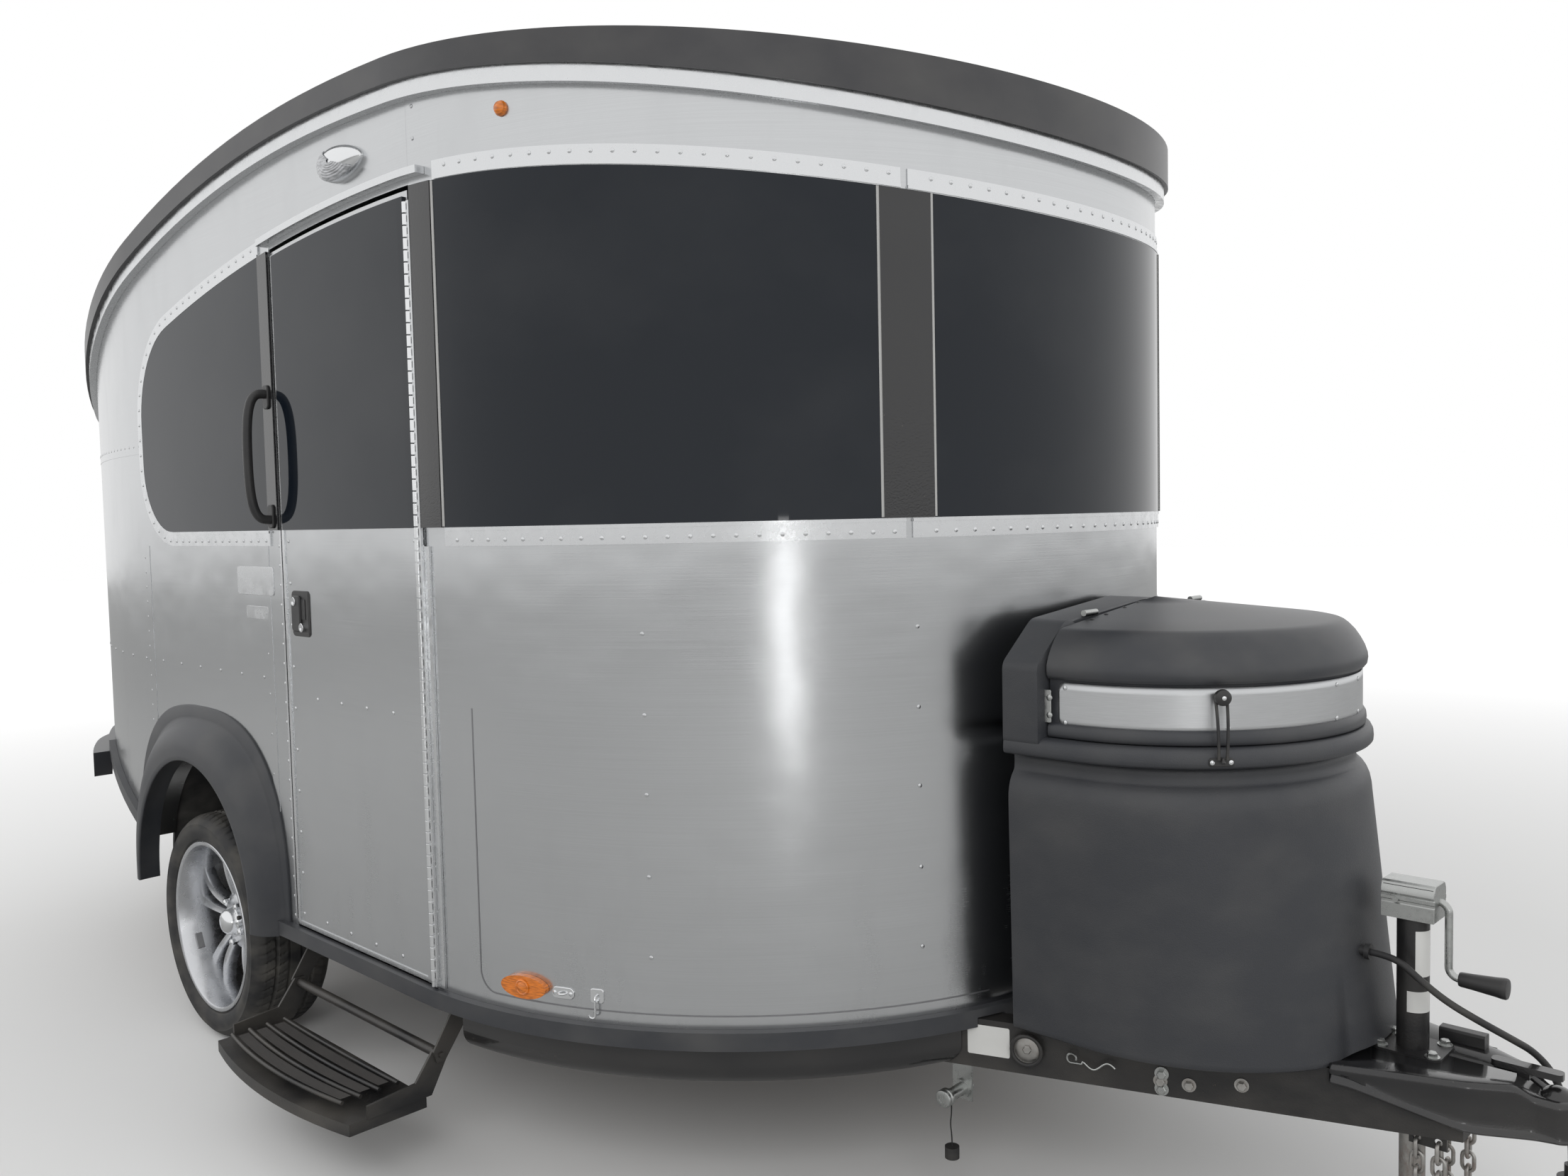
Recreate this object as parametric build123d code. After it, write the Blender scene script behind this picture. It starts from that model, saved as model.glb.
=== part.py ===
from build123d import *
import math
import os

os.makedirs("parts", exist_ok=True)

# A small aluminium travel caravan on one axle, parked on its tongue jack.
# Lengths are in millimetres. X points forward to the tow car, Y to the street side (left), Z up.
# The origin is the centre of the hitch ball's socket. Heights are given above the ground.
ball_height = 390
seat = 0.3              # gap between two pieces that rest on each other
door_gap = 5            # gap round every panel that opens

# Body outline seen from above
body_width = 2134
nose_gap = 899          # hitch ball to the foremost point of the front wall
flat_end = 3476         # hitch ball to where the flat sides begin to turn in
rear_turns = ((2400, 24), (500, 54))   # radius, sweep in degrees, from the flat side to the rear
wall = 50
half_width = body_width / 2
front_centre = -nose_gap - half_width

# Roof line seen from the side: two arcs that meet at the peak, then a straight run to the rear
roof_peak_x = -2326
roof_peak = 2368
roof_front_radius = 6000
roof_rear_radius = 4400
roof_rear_sweep = 20
roof_front_sweep = 16
roof_rear_run = 1300

# Lower edge of the body seen from the side: level, then kicked up behind the axle
sill = 425
kick_start = -3226
kick_run = 937
kick_rise = 300
kick_angle = math.degrees(math.atan2(kick_rise, kick_run))

# Roof cap and the bright gutter rail under it
rail_height = 34
rail_proud = 22
cap_edge = 50
cap_crown = 50
cap_overhang = 32

# Belt moulding along the body's lower edge
belt_above = 12
belt_below = 25
belt_proud = 20

# Window band round the body
band_peak_x = -1996
band_peak = roof_peak - 193
band_radius = 5740
band_bottom = 1450
trim_height = 40
trim_proud = 4
glass = 6
glass_lap = 25          # how far a pane laps onto the wall round its opening
pillar_proud = 9
# The front panes: first angle, last angle, measured from the nose towards the street side
front_panes = ((-83, -31.5), (-25.5, 25.5), (31.5, 83))
side_round_low = 200
side_round_high = 270

# Door and its opening
door_hinge_x = front_centre + 40
door_width = 669
door_thick = 45
door_hinge_out = 9      # distance of the hinge pin outside the wall
door_bottom = sill + belt_above + door_gap
door_rear_x = door_hinge_x - door_width
side_window_front = door_rear_x - 60
side_window_rear = -flat_end - 5

# Rear hatch and its opening
hatch_half = 480
hatch_low = sill + kick_rise + 75
hatch_high = roof_peak - 768
hatch_round = 70
hatch_glass_low = hatch_high - 470

# Wheels
axle_x = -3140
wheel_centre_height = 322
tyre_radius = 322
tyre_width = 225
tyre_outer_y = 1088
rim_radius = 236
spindle_radius = 33
arch_radius = 400
arch_centre_height = 420
flare_reach = 62
flare_flange = 50       # width of the flange that lies on the wall round the arch

# Chassis
frame_bottom = 315
frame_height = 102
frame_tube_width = 50
frame_top = frame_bottom + frame_height
main_rail_y = 600
tongue_angle = 20.3
tongue_tip_x = -126
tongue_tip_y = 65

# Blocks that only cut something else reach well past it
high = 3000
wide = 2000
back = -6000


def up(height):
    """Z of a height above the ground."""
    return height - ball_height


def box(x0, x1, y0, y1, z0, z1):
    """Upright box between two corners."""
    size = Box(abs(x1 - x0), abs(y1 - y0), abs(z1 - z0))
    return Pos((x0 + x1) / 2, (y0 + y1) / 2, (z0 + z1) / 2) * size


def disc(x, y, z, radius, length, direction):
    """Cylinder whose middle is at x, y, z, with its axis along X, Y or Z."""
    turn = {"X": Rot(0, 90, 0), "Y": Rot(90, 0, 0), "Z": Rot(0, 0, 0)}[direction]
    return Pos(x, y, z) * turn * Cylinder(radius, length)


def rod(start, end, radius):
    """Round bar from one point to another."""
    path = Line(start, end)
    return sweep(Plane(start, z_dir=path % 0) * Circle(radius), path)


def outline(points):
    """Face bounded by straight edges through a ring of points."""
    return Face(Wire([Line(a, b) for a, b in zip(points, points[1:] + points[:1])]))


def side_plate(points, y0, y1):
    """Plate between two distances from the middle, from its outline in x and height."""
    face = outline([(x, y0, up(height)) for x, height in points])
    return extrude(face, amount=y1 - y0, dir=(0, 1, 0))


def cross_plate(points, x0, x1):
    """Plate between two places along the caravan, from its outline in y and height."""
    face = outline([(x0, y, up(height)) for y, height in points])
    return extrude(face, amount=x1 - x0, dir=(1, 0, 0))


def plan_block(points, low, top):
    """Block between two heights, from its outline seen from above."""
    return extrude(outline([(x, y, up(low)) for x, y in points]), amount=top - low, dir=(0, 0, 1))


def across(face):
    """Block as wide as the body, from a face in the side view."""
    return extrude(face, amount=half_width + 300, dir=(0, 1, 0), both=True)


def half_space(side):
    """Everything on the curb side (-1) or the street side (+1)."""
    return box(back, -back, 0, side * wide, up(0), up(high))


def save(name, *shapes):
    """Writes one sub-part, as one or more solids that don't touch."""
    bodies = [solid for shape in shapes for solid in shape.solids()]
    shape = bodies[0] if len(bodies) == 1 else Compound(bodies)
    export_step(shape, f"parts/{name}.step")


def plan_face(inset):
    """Outline of the body from above, moved inwards by inset: half circle, flats, three rear arcs."""
    (side_r, side_turn), (corner_r, corner_turn) = rear_turns
    a1 = math.radians(side_turn)
    a2 = math.radians(side_turn + corner_turn)
    c1x = -flat_end
    c1y = side_r - half_width
    c2x = c1x - (side_r - corner_r) * math.sin(a1)
    c2y = c1y - (side_r - corner_r) * math.cos(a1)
    rear_r = corner_r - c2y / math.cos(a2)
    c3x = c2x - (corner_r - rear_r) * math.sin(a2)
    r = half_width - inset
    s1 = side_turn
    s2 = side_turn + corner_turn
    edges = [
        CenterArc((front_centre, 0), r, -90, 180),
        Line((front_centre, r), (-flat_end, r)),
        CenterArc((c1x, -c1y), side_r - inset, 90, s1),
        CenterArc((c2x, -c2y), corner_r - inset, 90 + s1, corner_turn),
        CenterArc((c3x, 0), rear_r - inset, 90 + s2, 180 - 2 * s2),
        CenterArc((c2x, c2y), corner_r - inset, 270 - s2, corner_turn),
        CenterArc((c1x, c1y), side_r - inset, 270 - s1, s1),
        Line((-flat_end, -r), (front_centre, -r)),
    ]
    return Face(Wire(edges)), c3x - rear_r, rear_r


_, rear_x, rear_radius = plan_face(0)


def rear_sag(y):
    """How far the rear wall has curved forward at a distance from the middle."""
    return rear_radius - math.sqrt(rear_radius ** 2 - y ** 2)


def column(inset):
    """Tall block with the body's outline."""
    return extrude(Pos(0, 0, up(0)) * plan_face(inset)[0], amount=high)


def jacket(outer, inner):
    """Tall upright shell between two outlines of the body."""
    return column(outer) - column(inner)


def roof_edges(rise):
    """Roof line moved up by rise, from the front to the rear, as edges in the side view."""
    front = math.radians(roof_front_sweep)
    rear = math.radians(roof_rear_sweep)

    def on_arc(radius, angle):
        centre = up(roof_peak) - radius
        reach = radius + rise
        return (roof_peak_x + reach * math.sin(angle), 0, centre + reach * math.cos(angle))

    p0 = on_arc(roof_front_radius, front)
    p1 = on_arc(roof_front_radius, front / 2)
    p2 = on_arc(roof_front_radius, 0)
    p3 = on_arc(roof_rear_radius, -rear / 2)
    p4 = on_arc(roof_rear_radius, -rear)
    p5 = (p4[0] - roof_rear_run * math.cos(rear), 0, p4[2] - roof_rear_run * math.sin(rear))
    return [ThreePointArc(p0, p1, p2), ThreePointArc(p2, p3, p4), Line(p4, p5)], p0, p5


def sill_points(drop):
    """Lower edge of the body moved down by drop, from the rear to the front."""
    shift = drop * math.tan(math.radians(kick_angle) / 2)
    z = up(sill) - drop
    start = kick_start - shift
    return [
        (back, 0, z + kick_rise),
        (start - kick_run, 0, z + kick_rise),
        (start, 0, z),
        (wall, 0, z),
    ]


def side_slab(drop, rise):
    """Block between the body's lower edge moved down by drop and its roof line moved up by rise."""
    top, front, rear = roof_edges(rise)
    points = [rear] + sill_points(drop) + [front]
    return across(Face(Wire(top + [Line(a, b) for a, b in zip(points, points[1:])])))


def sill_slab(low_drop, high_drop):
    """Block that follows the body's lower edge between two distances below it."""
    return across(outline(sill_points(low_drop) + list(reversed(sill_points(high_drop)))))


def roof_slab(low_rise, high_rise):
    """Block that follows the roof line between two distances above it."""
    low_edges, low_front, low_rear = roof_edges(low_rise)
    high_edges, high_front, high_rear = roof_edges(high_rise)
    ends = [Line(low_front, high_front), Line(low_rear, high_rear)]
    return across(Face(Wire(low_edges + high_edges + ends)))


def band_slab(low, rise, rear_end, front_end, low_radius=0, high_radius=0):
    """Block from a height to the window band's top arc moved up by rise. Rear corners may be round."""
    def top(x):
        reach = band_radius + rise
        return (x, 0, up(band_peak) - band_radius + math.sqrt(reach ** 2 - (x - band_peak_x) ** 2))

    a = (rear_end, 0, up(low))
    b = (front_end, 0, up(low))
    c = top(front_end)
    m = top((front_end + rear_end) / 2)
    d = top(rear_end)
    face = Face(Wire([Line(a, b), Line(b, c), ThreePointArc(c, m, d), Line(d, a)]))
    for corner, radius in ((d, high_radius), (a, low_radius)):
        if radius:
            vertex = face.vertices().sort_by_distance(corner)[0]
            face = face.fillet_2d(radius, [vertex])
    return across(face)


def side_window(grow):
    """Block through the body with the outline of a side window, moved outwards by grow."""
    return band_slab(
        band_bottom - grow,
        grow,
        side_window_rear - grow,
        side_window_front + grow,
        side_round_low + grow,
        side_round_high + grow,
    )


def wedge(from_angle, to_angle):
    """Tall slice of the front, between two angles about the centre of the half round."""
    reach = 3 * half_width
    points = [(front_centre, 0)]
    for angle in (from_angle, to_angle):
        a = math.radians(angle)
        points.append((front_centre + reach * math.cos(a), reach * math.sin(a)))
    return plan_block(points, 0, high)


def degrees_round(length):
    """Angle about the centre of the half round that a length on the front wall takes."""
    return math.degrees(length / half_width)


def rear_block(half, low, top, radius):
    """Block through the rear wall with rounded corners."""
    block = box(rear_x - 200, rear_x + 300, -half, half, up(low), up(top))
    return fillet(block.edges().filter_by(Axis.X), radius)


def arch_face(radius, y, low):
    """Outline of a wheel arch at a distance from the middle: half round above, straight down to a height."""
    top = (axle_x, y, up(arch_centre_height) + radius)
    left = (axle_x - radius, y, up(arch_centre_height))
    right = (axle_x + radius, y, up(arch_centre_height))
    low_left = (axle_x - radius, y, up(low))
    low_right = (axle_x + radius, y, up(low))
    legs = [Line(right, low_right), Line(low_right, low_left), Line(low_left, left)]
    return Face(Wire([ThreePointArc(left, top, right)] + legs))


def arch_block(radius, y0, y1, low):
    """Block with the outline of a wheel arch between two distances from the middle."""
    return extrude(arch_face(radius, y0, low), amount=abs(y1 - y0), dir=(0, 1 if y1 > y0 else -1, 0))


# Walls
shell = jacket(0, wall) & side_slab(0, rail_height)
rear_seam = 560
front_zone = box(door_hinge_x + seat, -back, -wide, wide, up(0), up(high))
rear_zone = box(back, rear_x + 400, -rear_seam, rear_seam, up(0), up(high))
rear_zone_grown = box(back, rear_x + 400, -rear_seam - seat, rear_seam + seat, up(0), up(high))
door_opening = half_space(-1) & band_slab(door_bottom - door_gap, door_gap, door_rear_x, door_hinge_x)
arch_hole = arch_block(arch_radius, -wide, wide, 0)
hatch_hole = rear_block(hatch_half, hatch_low, hatch_high, hatch_round)

front_band = band_slab(band_bottom + glass_lap, -glass_lap, door_hinge_x, wall)
lap = degrees_round(glass_lap)
pane_holes = [front_band & wedge(first + lap, last - lap) for first, last in front_panes]
save("wall_front", (shell & front_zone) - pane_holes)
save("wall_rear", (shell & rear_zone) - hatch_hole)

sides = shell - box(door_hinge_x, -back, -wide, wide, up(0), up(high)) - rear_zone_grown
sides = sides - side_window(-glass_lap) - arch_hole
save("wall_curb", (sides & half_space(-1)) - door_opening)
save("wall_street", sides & half_space(1))


# Roof: a crowned cap with an overhanging brim, and the bright rail under the brim
def cap_section(rise):
    """Cross-section of the roof cap at the peak, moved up by rise: flat below, crowned above."""
    half = half_width + 100
    z0 = up(roof_peak) + rail_height + seat + rise
    left = (roof_peak_x, -half, z0 + cap_edge)
    crown = (roof_peak_x, 0, z0 + cap_edge + cap_crown)
    right = (roof_peak_x, half, z0 + cap_edge)
    low_right = (roof_peak_x, half, z0)
    low_left = (roof_peak_x, -half, z0)
    sides = [Line(right, low_right), Line(low_right, low_left), Line(low_left, left)]
    return Face(Wire([ThreePointArc(left, crown, right)] + sides))


front_axis = Axis((roof_peak_x, 0, up(roof_peak) - roof_front_radius), (0, 1, 0))
rear_axis = Axis((roof_peak_x, 0, up(roof_peak) - roof_rear_radius), (0, 1, 0))


def cap_block(rise):
    """The roof cap's full sweep from front to rear, before it is cut to the body's outline."""
    slope = math.radians(roof_rear_sweep)
    front = revolve(cap_section(rise), front_axis, roof_front_sweep)
    rear = revolve(cap_section(rise), rear_axis, -roof_rear_sweep)
    end = cap_section(rise).rotate(rear_axis, -roof_rear_sweep)
    return front + rear + extrude(end, amount=roof_rear_run, dir=(-math.cos(slope), 0, -math.sin(slope)))


vent_x = -3050
vent_half = 178
vent_angle = -math.degrees(math.asin((roof_peak_x - vent_x) / roof_rear_radius))


def on_roof(shape):
    """Turns a shape that was made at the roof's peak back to the roof vent's place."""
    return shape.rotate(rear_axis, vent_angle)


vent_hole = box(-vent_half, vent_half, -vent_half, vent_half, up(roof_peak), up(high))
roof_cap = (cap_block(0) & column(-cap_overhang)) - on_roof(Pos(roof_peak_x, 0, 0) * vent_hole)
save("roof_cap", roof_cap)
save("roof_rail", jacket(-rail_proud, -seat) & roof_slab(0, rail_height))

# Roof vent: a collar on the cap and a lid hinged at its rear edge
over_cap = cap_block(seat)
vent_collar = 25
vent_wall = 4
vent_crown = up(roof_peak) + rail_height + cap_edge + cap_crown
vent_top = vent_crown + 34
vent_outer = vent_half + vent_collar
lid_lap = 3
lid_height = 40
vent_pin_radius = 4
vent_pin_x = -vent_outer - lid_lap - vent_pin_radius - 2
vent_inner = vent_half - vent_wall
collar = box(-vent_outer, vent_outer, -vent_outer, vent_outer, vent_crown - 10, vent_top)
collar = collar - box(-vent_inner, vent_inner, -vent_inner, vent_inner, up(roof_peak), up(high))
for y in (-100, 100):
    knuckle = disc(vent_pin_x, y, vent_top, vent_pin_radius, 60, "Y")
    lug = box(vent_pin_x, -vent_outer + 4, y - 30, y + 30, vent_top - vent_pin_radius, vent_top - 1)
    collar = collar + knuckle + lug
save("roof_vent", on_roof(Pos(roof_peak_x, 0, 0) * collar) - over_cap)
lid_half = vent_outer + lid_lap
vent_lid = box(-lid_half, lid_half, -lid_half, lid_half, vent_top + seat, vent_top + seat + lid_height)
lid_edges = vent_lid.edges().filter_by(Axis.Z) + vent_lid.faces().sort_by(Axis.Z)[-1].edges()
save("roof_vent_lid", on_roof(Pos(roof_peak_x, 0, 0) * fillet(lid_edges, 16)))

# Air conditioner on the roof
aircon_x = -2250
aircon_half_length = 370
aircon_half_width = 330
aircon_top = roof_peak + 312
shroud = box(
    aircon_x - aircon_half_length,
    aircon_x + aircon_half_length,
    -aircon_half_width,
    aircon_half_width,
    up(roof_peak) + rail_height + cap_edge,
    up(aircon_top),
)
shroud = fillet(shroud.faces().sort_by(Axis.Z)[-1].edges() + shroud.edges().filter_by(Axis.Z), 60)
save("aircon_shroud", shroud - over_cap)


def rail_plan(side, grow):
    """Plan of one frame rail, tongue and main run, with its faces moved outwards by grow."""
    slope = math.tan(math.radians(tongue_angle))
    skew = (frame_tube_width / 2 + grow) / math.cos(math.radians(tongue_angle))
    half = frame_tube_width / 2 + grow
    bend_x = tongue_tip_x - (main_rail_y - tongue_tip_y) / slope
    return [
        (tongue_tip_x, side * (tongue_tip_y - skew)),
        (tongue_tip_x, side * (tongue_tip_y + skew)),
        (bend_x, side * (main_rail_y + half)),
        (rear_frame_x, side * (main_rail_y + half)),
        (rear_frame_x, side * (main_rail_y - half)),
        (bend_x, side * (main_rail_y - half)),
    ]


# Belt moulding along the body's lower edge, broken at the wheel arches, notched over the tongue
rear_frame_x = rear_x + 120
rail_clear = 3
flare_outer = arch_radius + flare_flange
belt_gap = flare_outer + 1
belt = jacket(-belt_proud, -seat) & sill_slab(belt_below, -belt_above)
belt = belt - box(axle_x - belt_gap, axle_x + belt_gap, -wide, wide, up(0), up(arch_centre_height + 200))
for side in (-1, 1):
    notch = plan_block(rail_plan(side, rail_clear), frame_bottom, frame_top + rail_clear)
    belt = belt - notch
save("belt_moulding", belt)

# Riveted trim strips above and below the windows
trim_rear = door_hinge_x + 90
trim_shell = jacket(-trim_proud, -seat)
upper_trim = band_slab(band_bottom, trim_height, trim_rear, wall)
upper_trim = trim_shell & (upper_trim - band_slab(band_bottom - 1, seat, trim_rear - 10, wall + 10))
lower_trim = box(trim_rear, wall, -wide, wide, up(band_bottom - trim_height), up(band_bottom) - seat)
lower_trim = trim_shell & lower_trim
trim_gap = 15
joint_half = degrees_round(trim_gap / 2)
for (_, last), (first, _) in zip(front_panes, front_panes[1:]):
    joint = wedge((last + first) / 2 - joint_half, (last + first) / 2 + joint_half)
    upper_trim = upper_trim - joint
    lower_trim = lower_trim - joint
window_frame = side_window(trim_height) - side_window(seat)
window_frame = window_frame & box(back, side_window_front, -wide, wide, up(0), up(high))
save("window_trim", upper_trim, lower_trim, trim_shell & window_frame)

# Panes, bonded on the outside of the wall
pane_shell = jacket(-glass, -seat)
front_band = pane_shell & band_slab(band_bottom, 0, door_hinge_x, wall)
save("front_panes", *[front_band & wedge(first, last) for first, last in front_panes])
side_panes = pane_shell & side_window(0)
save("side_panes", side_panes & half_space(-1), side_panes & half_space(1))

# Pillar covers between the panes
pillar_shell = jacket(-pillar_proud, -seat) & band_slab(band_bottom, 0, side_window_front, wall)
pillar_gap = 4
pillars = []
for (_, last), (first, _) in zip(front_panes, front_panes[1:]):
    spare = degrees_round(pillar_gap / 2)
    pillars.append(pillar_shell & wedge(last + spare, first - spare))
front_pane_end = front_centre + half_width * math.cos(math.radians(front_panes[-1][1]))
door_clear = 14
rear_pillar = (side_window_front + pillar_gap, door_rear_x - pillar_gap)
front_pillar = (door_hinge_x + door_clear, front_pane_end - pillar_gap)
for x0, x1 in (rear_pillar, front_pillar):
    for side in (-1, 1):
        pillars.append(pillar_shell & half_space(side) & box(x0, x1, -wide, wide, up(0), up(high)))
save("window_pillars", *pillars)

# Door: a framed panel with a bonded pane, hung on a full-length hinge
frame_strip = 40
pane_inset = 12
latch_x = door_hinge_x - 579
latch_height = 1242
latch_half_width = 42
latch_half_height = 52
latch_depth = 28
door_panel = jacket(0, door_thick) & half_space(-1) & band_slab(
    door_bottom, -door_gap, door_rear_x + door_gap, door_hinge_x - door_gap
)
door_hole = band_slab(
    band_bottom + glass_lap,
    -door_gap - frame_strip,
    door_rear_x + door_gap + frame_strip,
    door_hinge_x - door_gap - frame_strip,
)


def latch_box(grow, y0, y1):
    """Block with the outline of the door latch, grown all round."""
    return box(
        latch_x - latch_half_width - grow,
        latch_x + latch_half_width + grow,
        y0,
        y1,
        up(latch_height - latch_half_height - grow),
        up(latch_height + latch_half_height + grow),
    )


door_panel = door_panel - door_hole - latch_box(0, -half_width - 10, -half_width + latch_depth)
door_pane_inset = door_gap + pane_inset
door_pane = pane_shell & half_space(-1) & band_slab(
    band_bottom, -door_pane_inset, door_rear_x + door_pane_inset, door_hinge_x - door_pane_inset
)
save("door_glass", door_pane)

latch = latch_box(-seat, -half_width - 3, -half_width + latch_depth - seat)
latch = latch - latch_box(-12, -half_width - 10, -half_width + 18)
paddle_low = up(latch_height - 14)
paddle_high = up(latch_height + 36)
paddle = box(latch_x - 26, latch_x + 26, -half_width - 4, -half_width + 4, paddle_low, paddle_high)
stem = box(latch_x - 10, latch_x + 10, -half_width + 3, -half_width + 20, paddle_low + 24, paddle_high - 6)
save("door_latch", latch + paddle + stem)

# Hinges: knuckles on one pin line belong by turns to the wall and to the panel that opens
hinge_radius = 5
leaf_thick = 2.7
leaf_width = 30
knuckle_count = 11
hinge_y = -half_width - door_hinge_out
hinge_low = door_bottom
hinge_high = band_bottom - trim_height
knuckle_length = (hinge_high - hinge_low) / knuckle_count
leaf_y = (-half_width - seat - leaf_thick, -half_width - seat)
wall_leaf = box(
    door_hinge_x + door_gap,
    door_hinge_x + door_gap + leaf_width,
    leaf_y[0],
    leaf_y[1] + leaf_thick,
    up(hinge_low),
    up(hinge_high),
) - column(-seat)
door_leaf = box(
    door_hinge_x - door_gap - leaf_width,
    door_hinge_x - door_gap,
    leaf_y[0],
    leaf_y[1] + 1,
    up(hinge_low),
    up(hinge_high),
)
hinge_sides = {1: wall_leaf, -1: door_leaf}
for k in range(knuckle_count):
    side = 1 if k % 2 == 0 else -1
    z0 = up(hinge_low + k * knuckle_length)
    z1 = z0 + knuckle_length - seat
    knuckle = disc(door_hinge_x, hinge_y, (z0 + z1) / 2, hinge_radius, z1 - z0, "Z")
    web = box(door_hinge_x + side * 3, door_hinge_x + side * 12, hinge_y, leaf_y[1], z0, z1)
    hinge_sides[side] = hinge_sides[side] + knuckle + web
save("door_panel", door_panel + hinge_sides[-1])

hatch_pin_x = rear_x - 12
hatch_pin_height = hatch_high + 4
hatch_pin_radius = 7
hatch_hinge_y = 330
hatch_panel = jacket(0, door_thick) & rear_block(
    hatch_half - door_gap, hatch_low + door_gap, hatch_high - door_gap, hatch_round - door_gap
)
hatch_rim = 75
hatch_panel = hatch_panel - rear_block(
    hatch_half - hatch_rim, hatch_glass_low + glass_lap, hatch_high - hatch_rim, 45
)
wall_hinges = []
for side in (-1, 1):
    y = side * hatch_hinge_y
    skin_x = rear_x + rear_sag(y)
    pin = up(hatch_pin_height)
    for shift in (-30, 30):
        k0 = y + shift - 14.5
        k1 = y + shift + 14.5
        knuckle = disc(hatch_pin_x, (k0 + k1) / 2, pin, hatch_pin_radius, k1 - k0, "Y")
        leaf = box(hatch_pin_x - 3, hatch_pin_x + 3, k0, k1, pin, pin + 40)
        foot = box(hatch_pin_x - 3, skin_x + 12, k0, k1, pin + 12, pin + 40)
        wall_hinges.append((knuckle + leaf + foot) - column(-seat))
    knuckle = disc(hatch_pin_x, y, pin, hatch_pin_radius, 30.4, "Y")
    strap = box(hatch_pin_x - 5, hatch_pin_x + 3, y - 15.2, y + 15.2, pin - 50, pin)
    foot = box(hatch_pin_x - 5, skin_x + 8, y - 15.2, y + 15.2, pin - 50, pin - 16)
    hatch_panel = hatch_panel + knuckle + strap + foot
save("panel_hinges", hinge_sides[1], *wall_hinges)

grip_half = 70
grip_height = 910
grip_low = up(grip_height - 12)
grip_high = up(grip_height + 12)
grip = fillet(box(rear_x - 34, rear_x - 14, -grip_half, grip_half, grip_low, grip_high).edges(), 6)
for side in (-1, 1):
    grip = grip + box(rear_x - 20, rear_x + 8, side * 40, side * 60, grip_low + 2, grip_high - 2)
save("hatch_panel", hatch_panel + grip)
save("hatch_glass", pane_shell & rear_block(hatch_half - 50, hatch_glass_low, hatch_high - 50, 70))

# Gutter over the door
gutter_proud = 22
gutter_height = 16
gutter_rise = 18
gutter = band_slab(band_bottom, gutter_rise + gutter_height, door_rear_x - 30, door_hinge_x + 60)
gutter = gutter - band_slab(band_bottom - 1, gutter_rise, door_rear_x - 40, door_hinge_x + 70)
save("door_gutter", jacket(-gutter_proud, -seat) & half_space(-1) & gutter)

# Grab handle on the pillar cover behind the door
handle_x = sum(rear_pillar) / 2
handle_out = 55
handle_radius = 11
handle_lean = 30
handle_y = -half_width - pillar_proud
grip_y = handle_y - handle_out
handle_ends = ((1500, 1), (1770, -1))
grab = rod(
    (handle_x, grip_y, up(handle_ends[0][0] + handle_lean)),
    (handle_x, grip_y, up(handle_ends[1][0] - handle_lean)),
    handle_radius,
)
for height, turn in handle_ends:
    knee = (handle_x, grip_y, up(height + turn * handle_lean))
    arm = rod((handle_x, handle_y - 8, up(height)), knee, handle_radius)
    foot_plate = (handle_x - 14, handle_x + 14, handle_y - 6, handle_y - seat)
    foot = box(*foot_plate, up(height - 30), up(height + 30))
    grab = grab + arm + Pos(*knee) * Sphere(handle_radius) + foot
save("grab_handle", grab)

# Porch light over the door, amber side markers and red tail lamps
porch_disc = disc(door_hinge_x - 271, -half_width, up(roof_peak - 103), 40, 200, "Y")
save("porch_light", jacket(-26, -seat) & porch_disc)
marker_angle = -73
marker_a = math.radians(marker_angle)
marker_x = front_centre + half_width * math.cos(marker_a)
marker_y = half_width * math.sin(marker_a)
marker = extrude(Ellipse(24, 57), amount=60, both=True)
marker = Pos(marker_x, marker_y, up(495)) * Rot(0, 0, marker_angle) * Rot(0, 90, 0) * marker
marker = jacket(-14, -seat) & marker
save("marker_lamps", marker, mirror(marker, Plane.XZ))
lamps = []
for side in (-1, 1):
    lamp = box(rear_x + 20, rear_x + 400, side * 620, side * 800, up(790), up(880))
    lamp = fillet(lamp.edges().filter_by(Axis.X), 20)
    lamps.append(jacket(-26, -seat) & lamp)
save("tail_lamps", *lamps)

# Floor, following the kicked-up rear
floor_thick = 50
well_wall = 14
well_outer = arch_radius + 22
well_inner_y = 800
well_low = sill - 30
floor = column(wall + seat) & sill_slab(sill - frame_top - seat, -floor_thick)
for side in (-1, 1):
    floor = floor - arch_block(well_outer + 3, side * (well_inner_y - 3), side * wide, 0)
save("floor", floor)

# Wheel housings inside the cabin
housings = []
for side in (-1, 1):
    y_in = side * well_inner_y
    y_out = side * half_width
    outer = arch_block(well_outer, y_in, y_out, well_low)
    y_shift = side * well_wall
    inner = arch_block(well_outer - well_wall, y_in + y_shift, y_out + y_shift, well_low - 1)
    housings.append((outer - inner) & column(wall + seat))
save("wheel_housings", *housings)

# Fender flares round the wheel arches
flare_low = 395
flare_skin = 10
# outer radius, distance out from the wall
flare_rings = ((flare_outer - 22, 0), (flare_outer - 28, flare_reach * 0.55), (arch_radius - 4, flare_reach))
flares = []
for side in (-1, 1):
    face_y = side * (half_width + seat)
    hole_radius = arch_radius - flare_skin
    flange = extrude(arch_face(flare_outer, face_y, flare_low), amount=7, dir=(0, side, 0))
    outer = loft([arch_face(r, face_y + side * out, flare_low) for r, out in flare_rings])
    inner = [arch_face(hole_radius, face_y - side, flare_low - 1)]
    inner.append(arch_face(hole_radius, face_y + side * flare_reach * 0.5, flare_low - 1))
    inner.append(arch_face(hole_radius - 14, face_y + side * (flare_reach + 1), flare_low - 1))
    flares.append((flange + outer) - loft(inner))
save("fenders", *flares)

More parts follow.
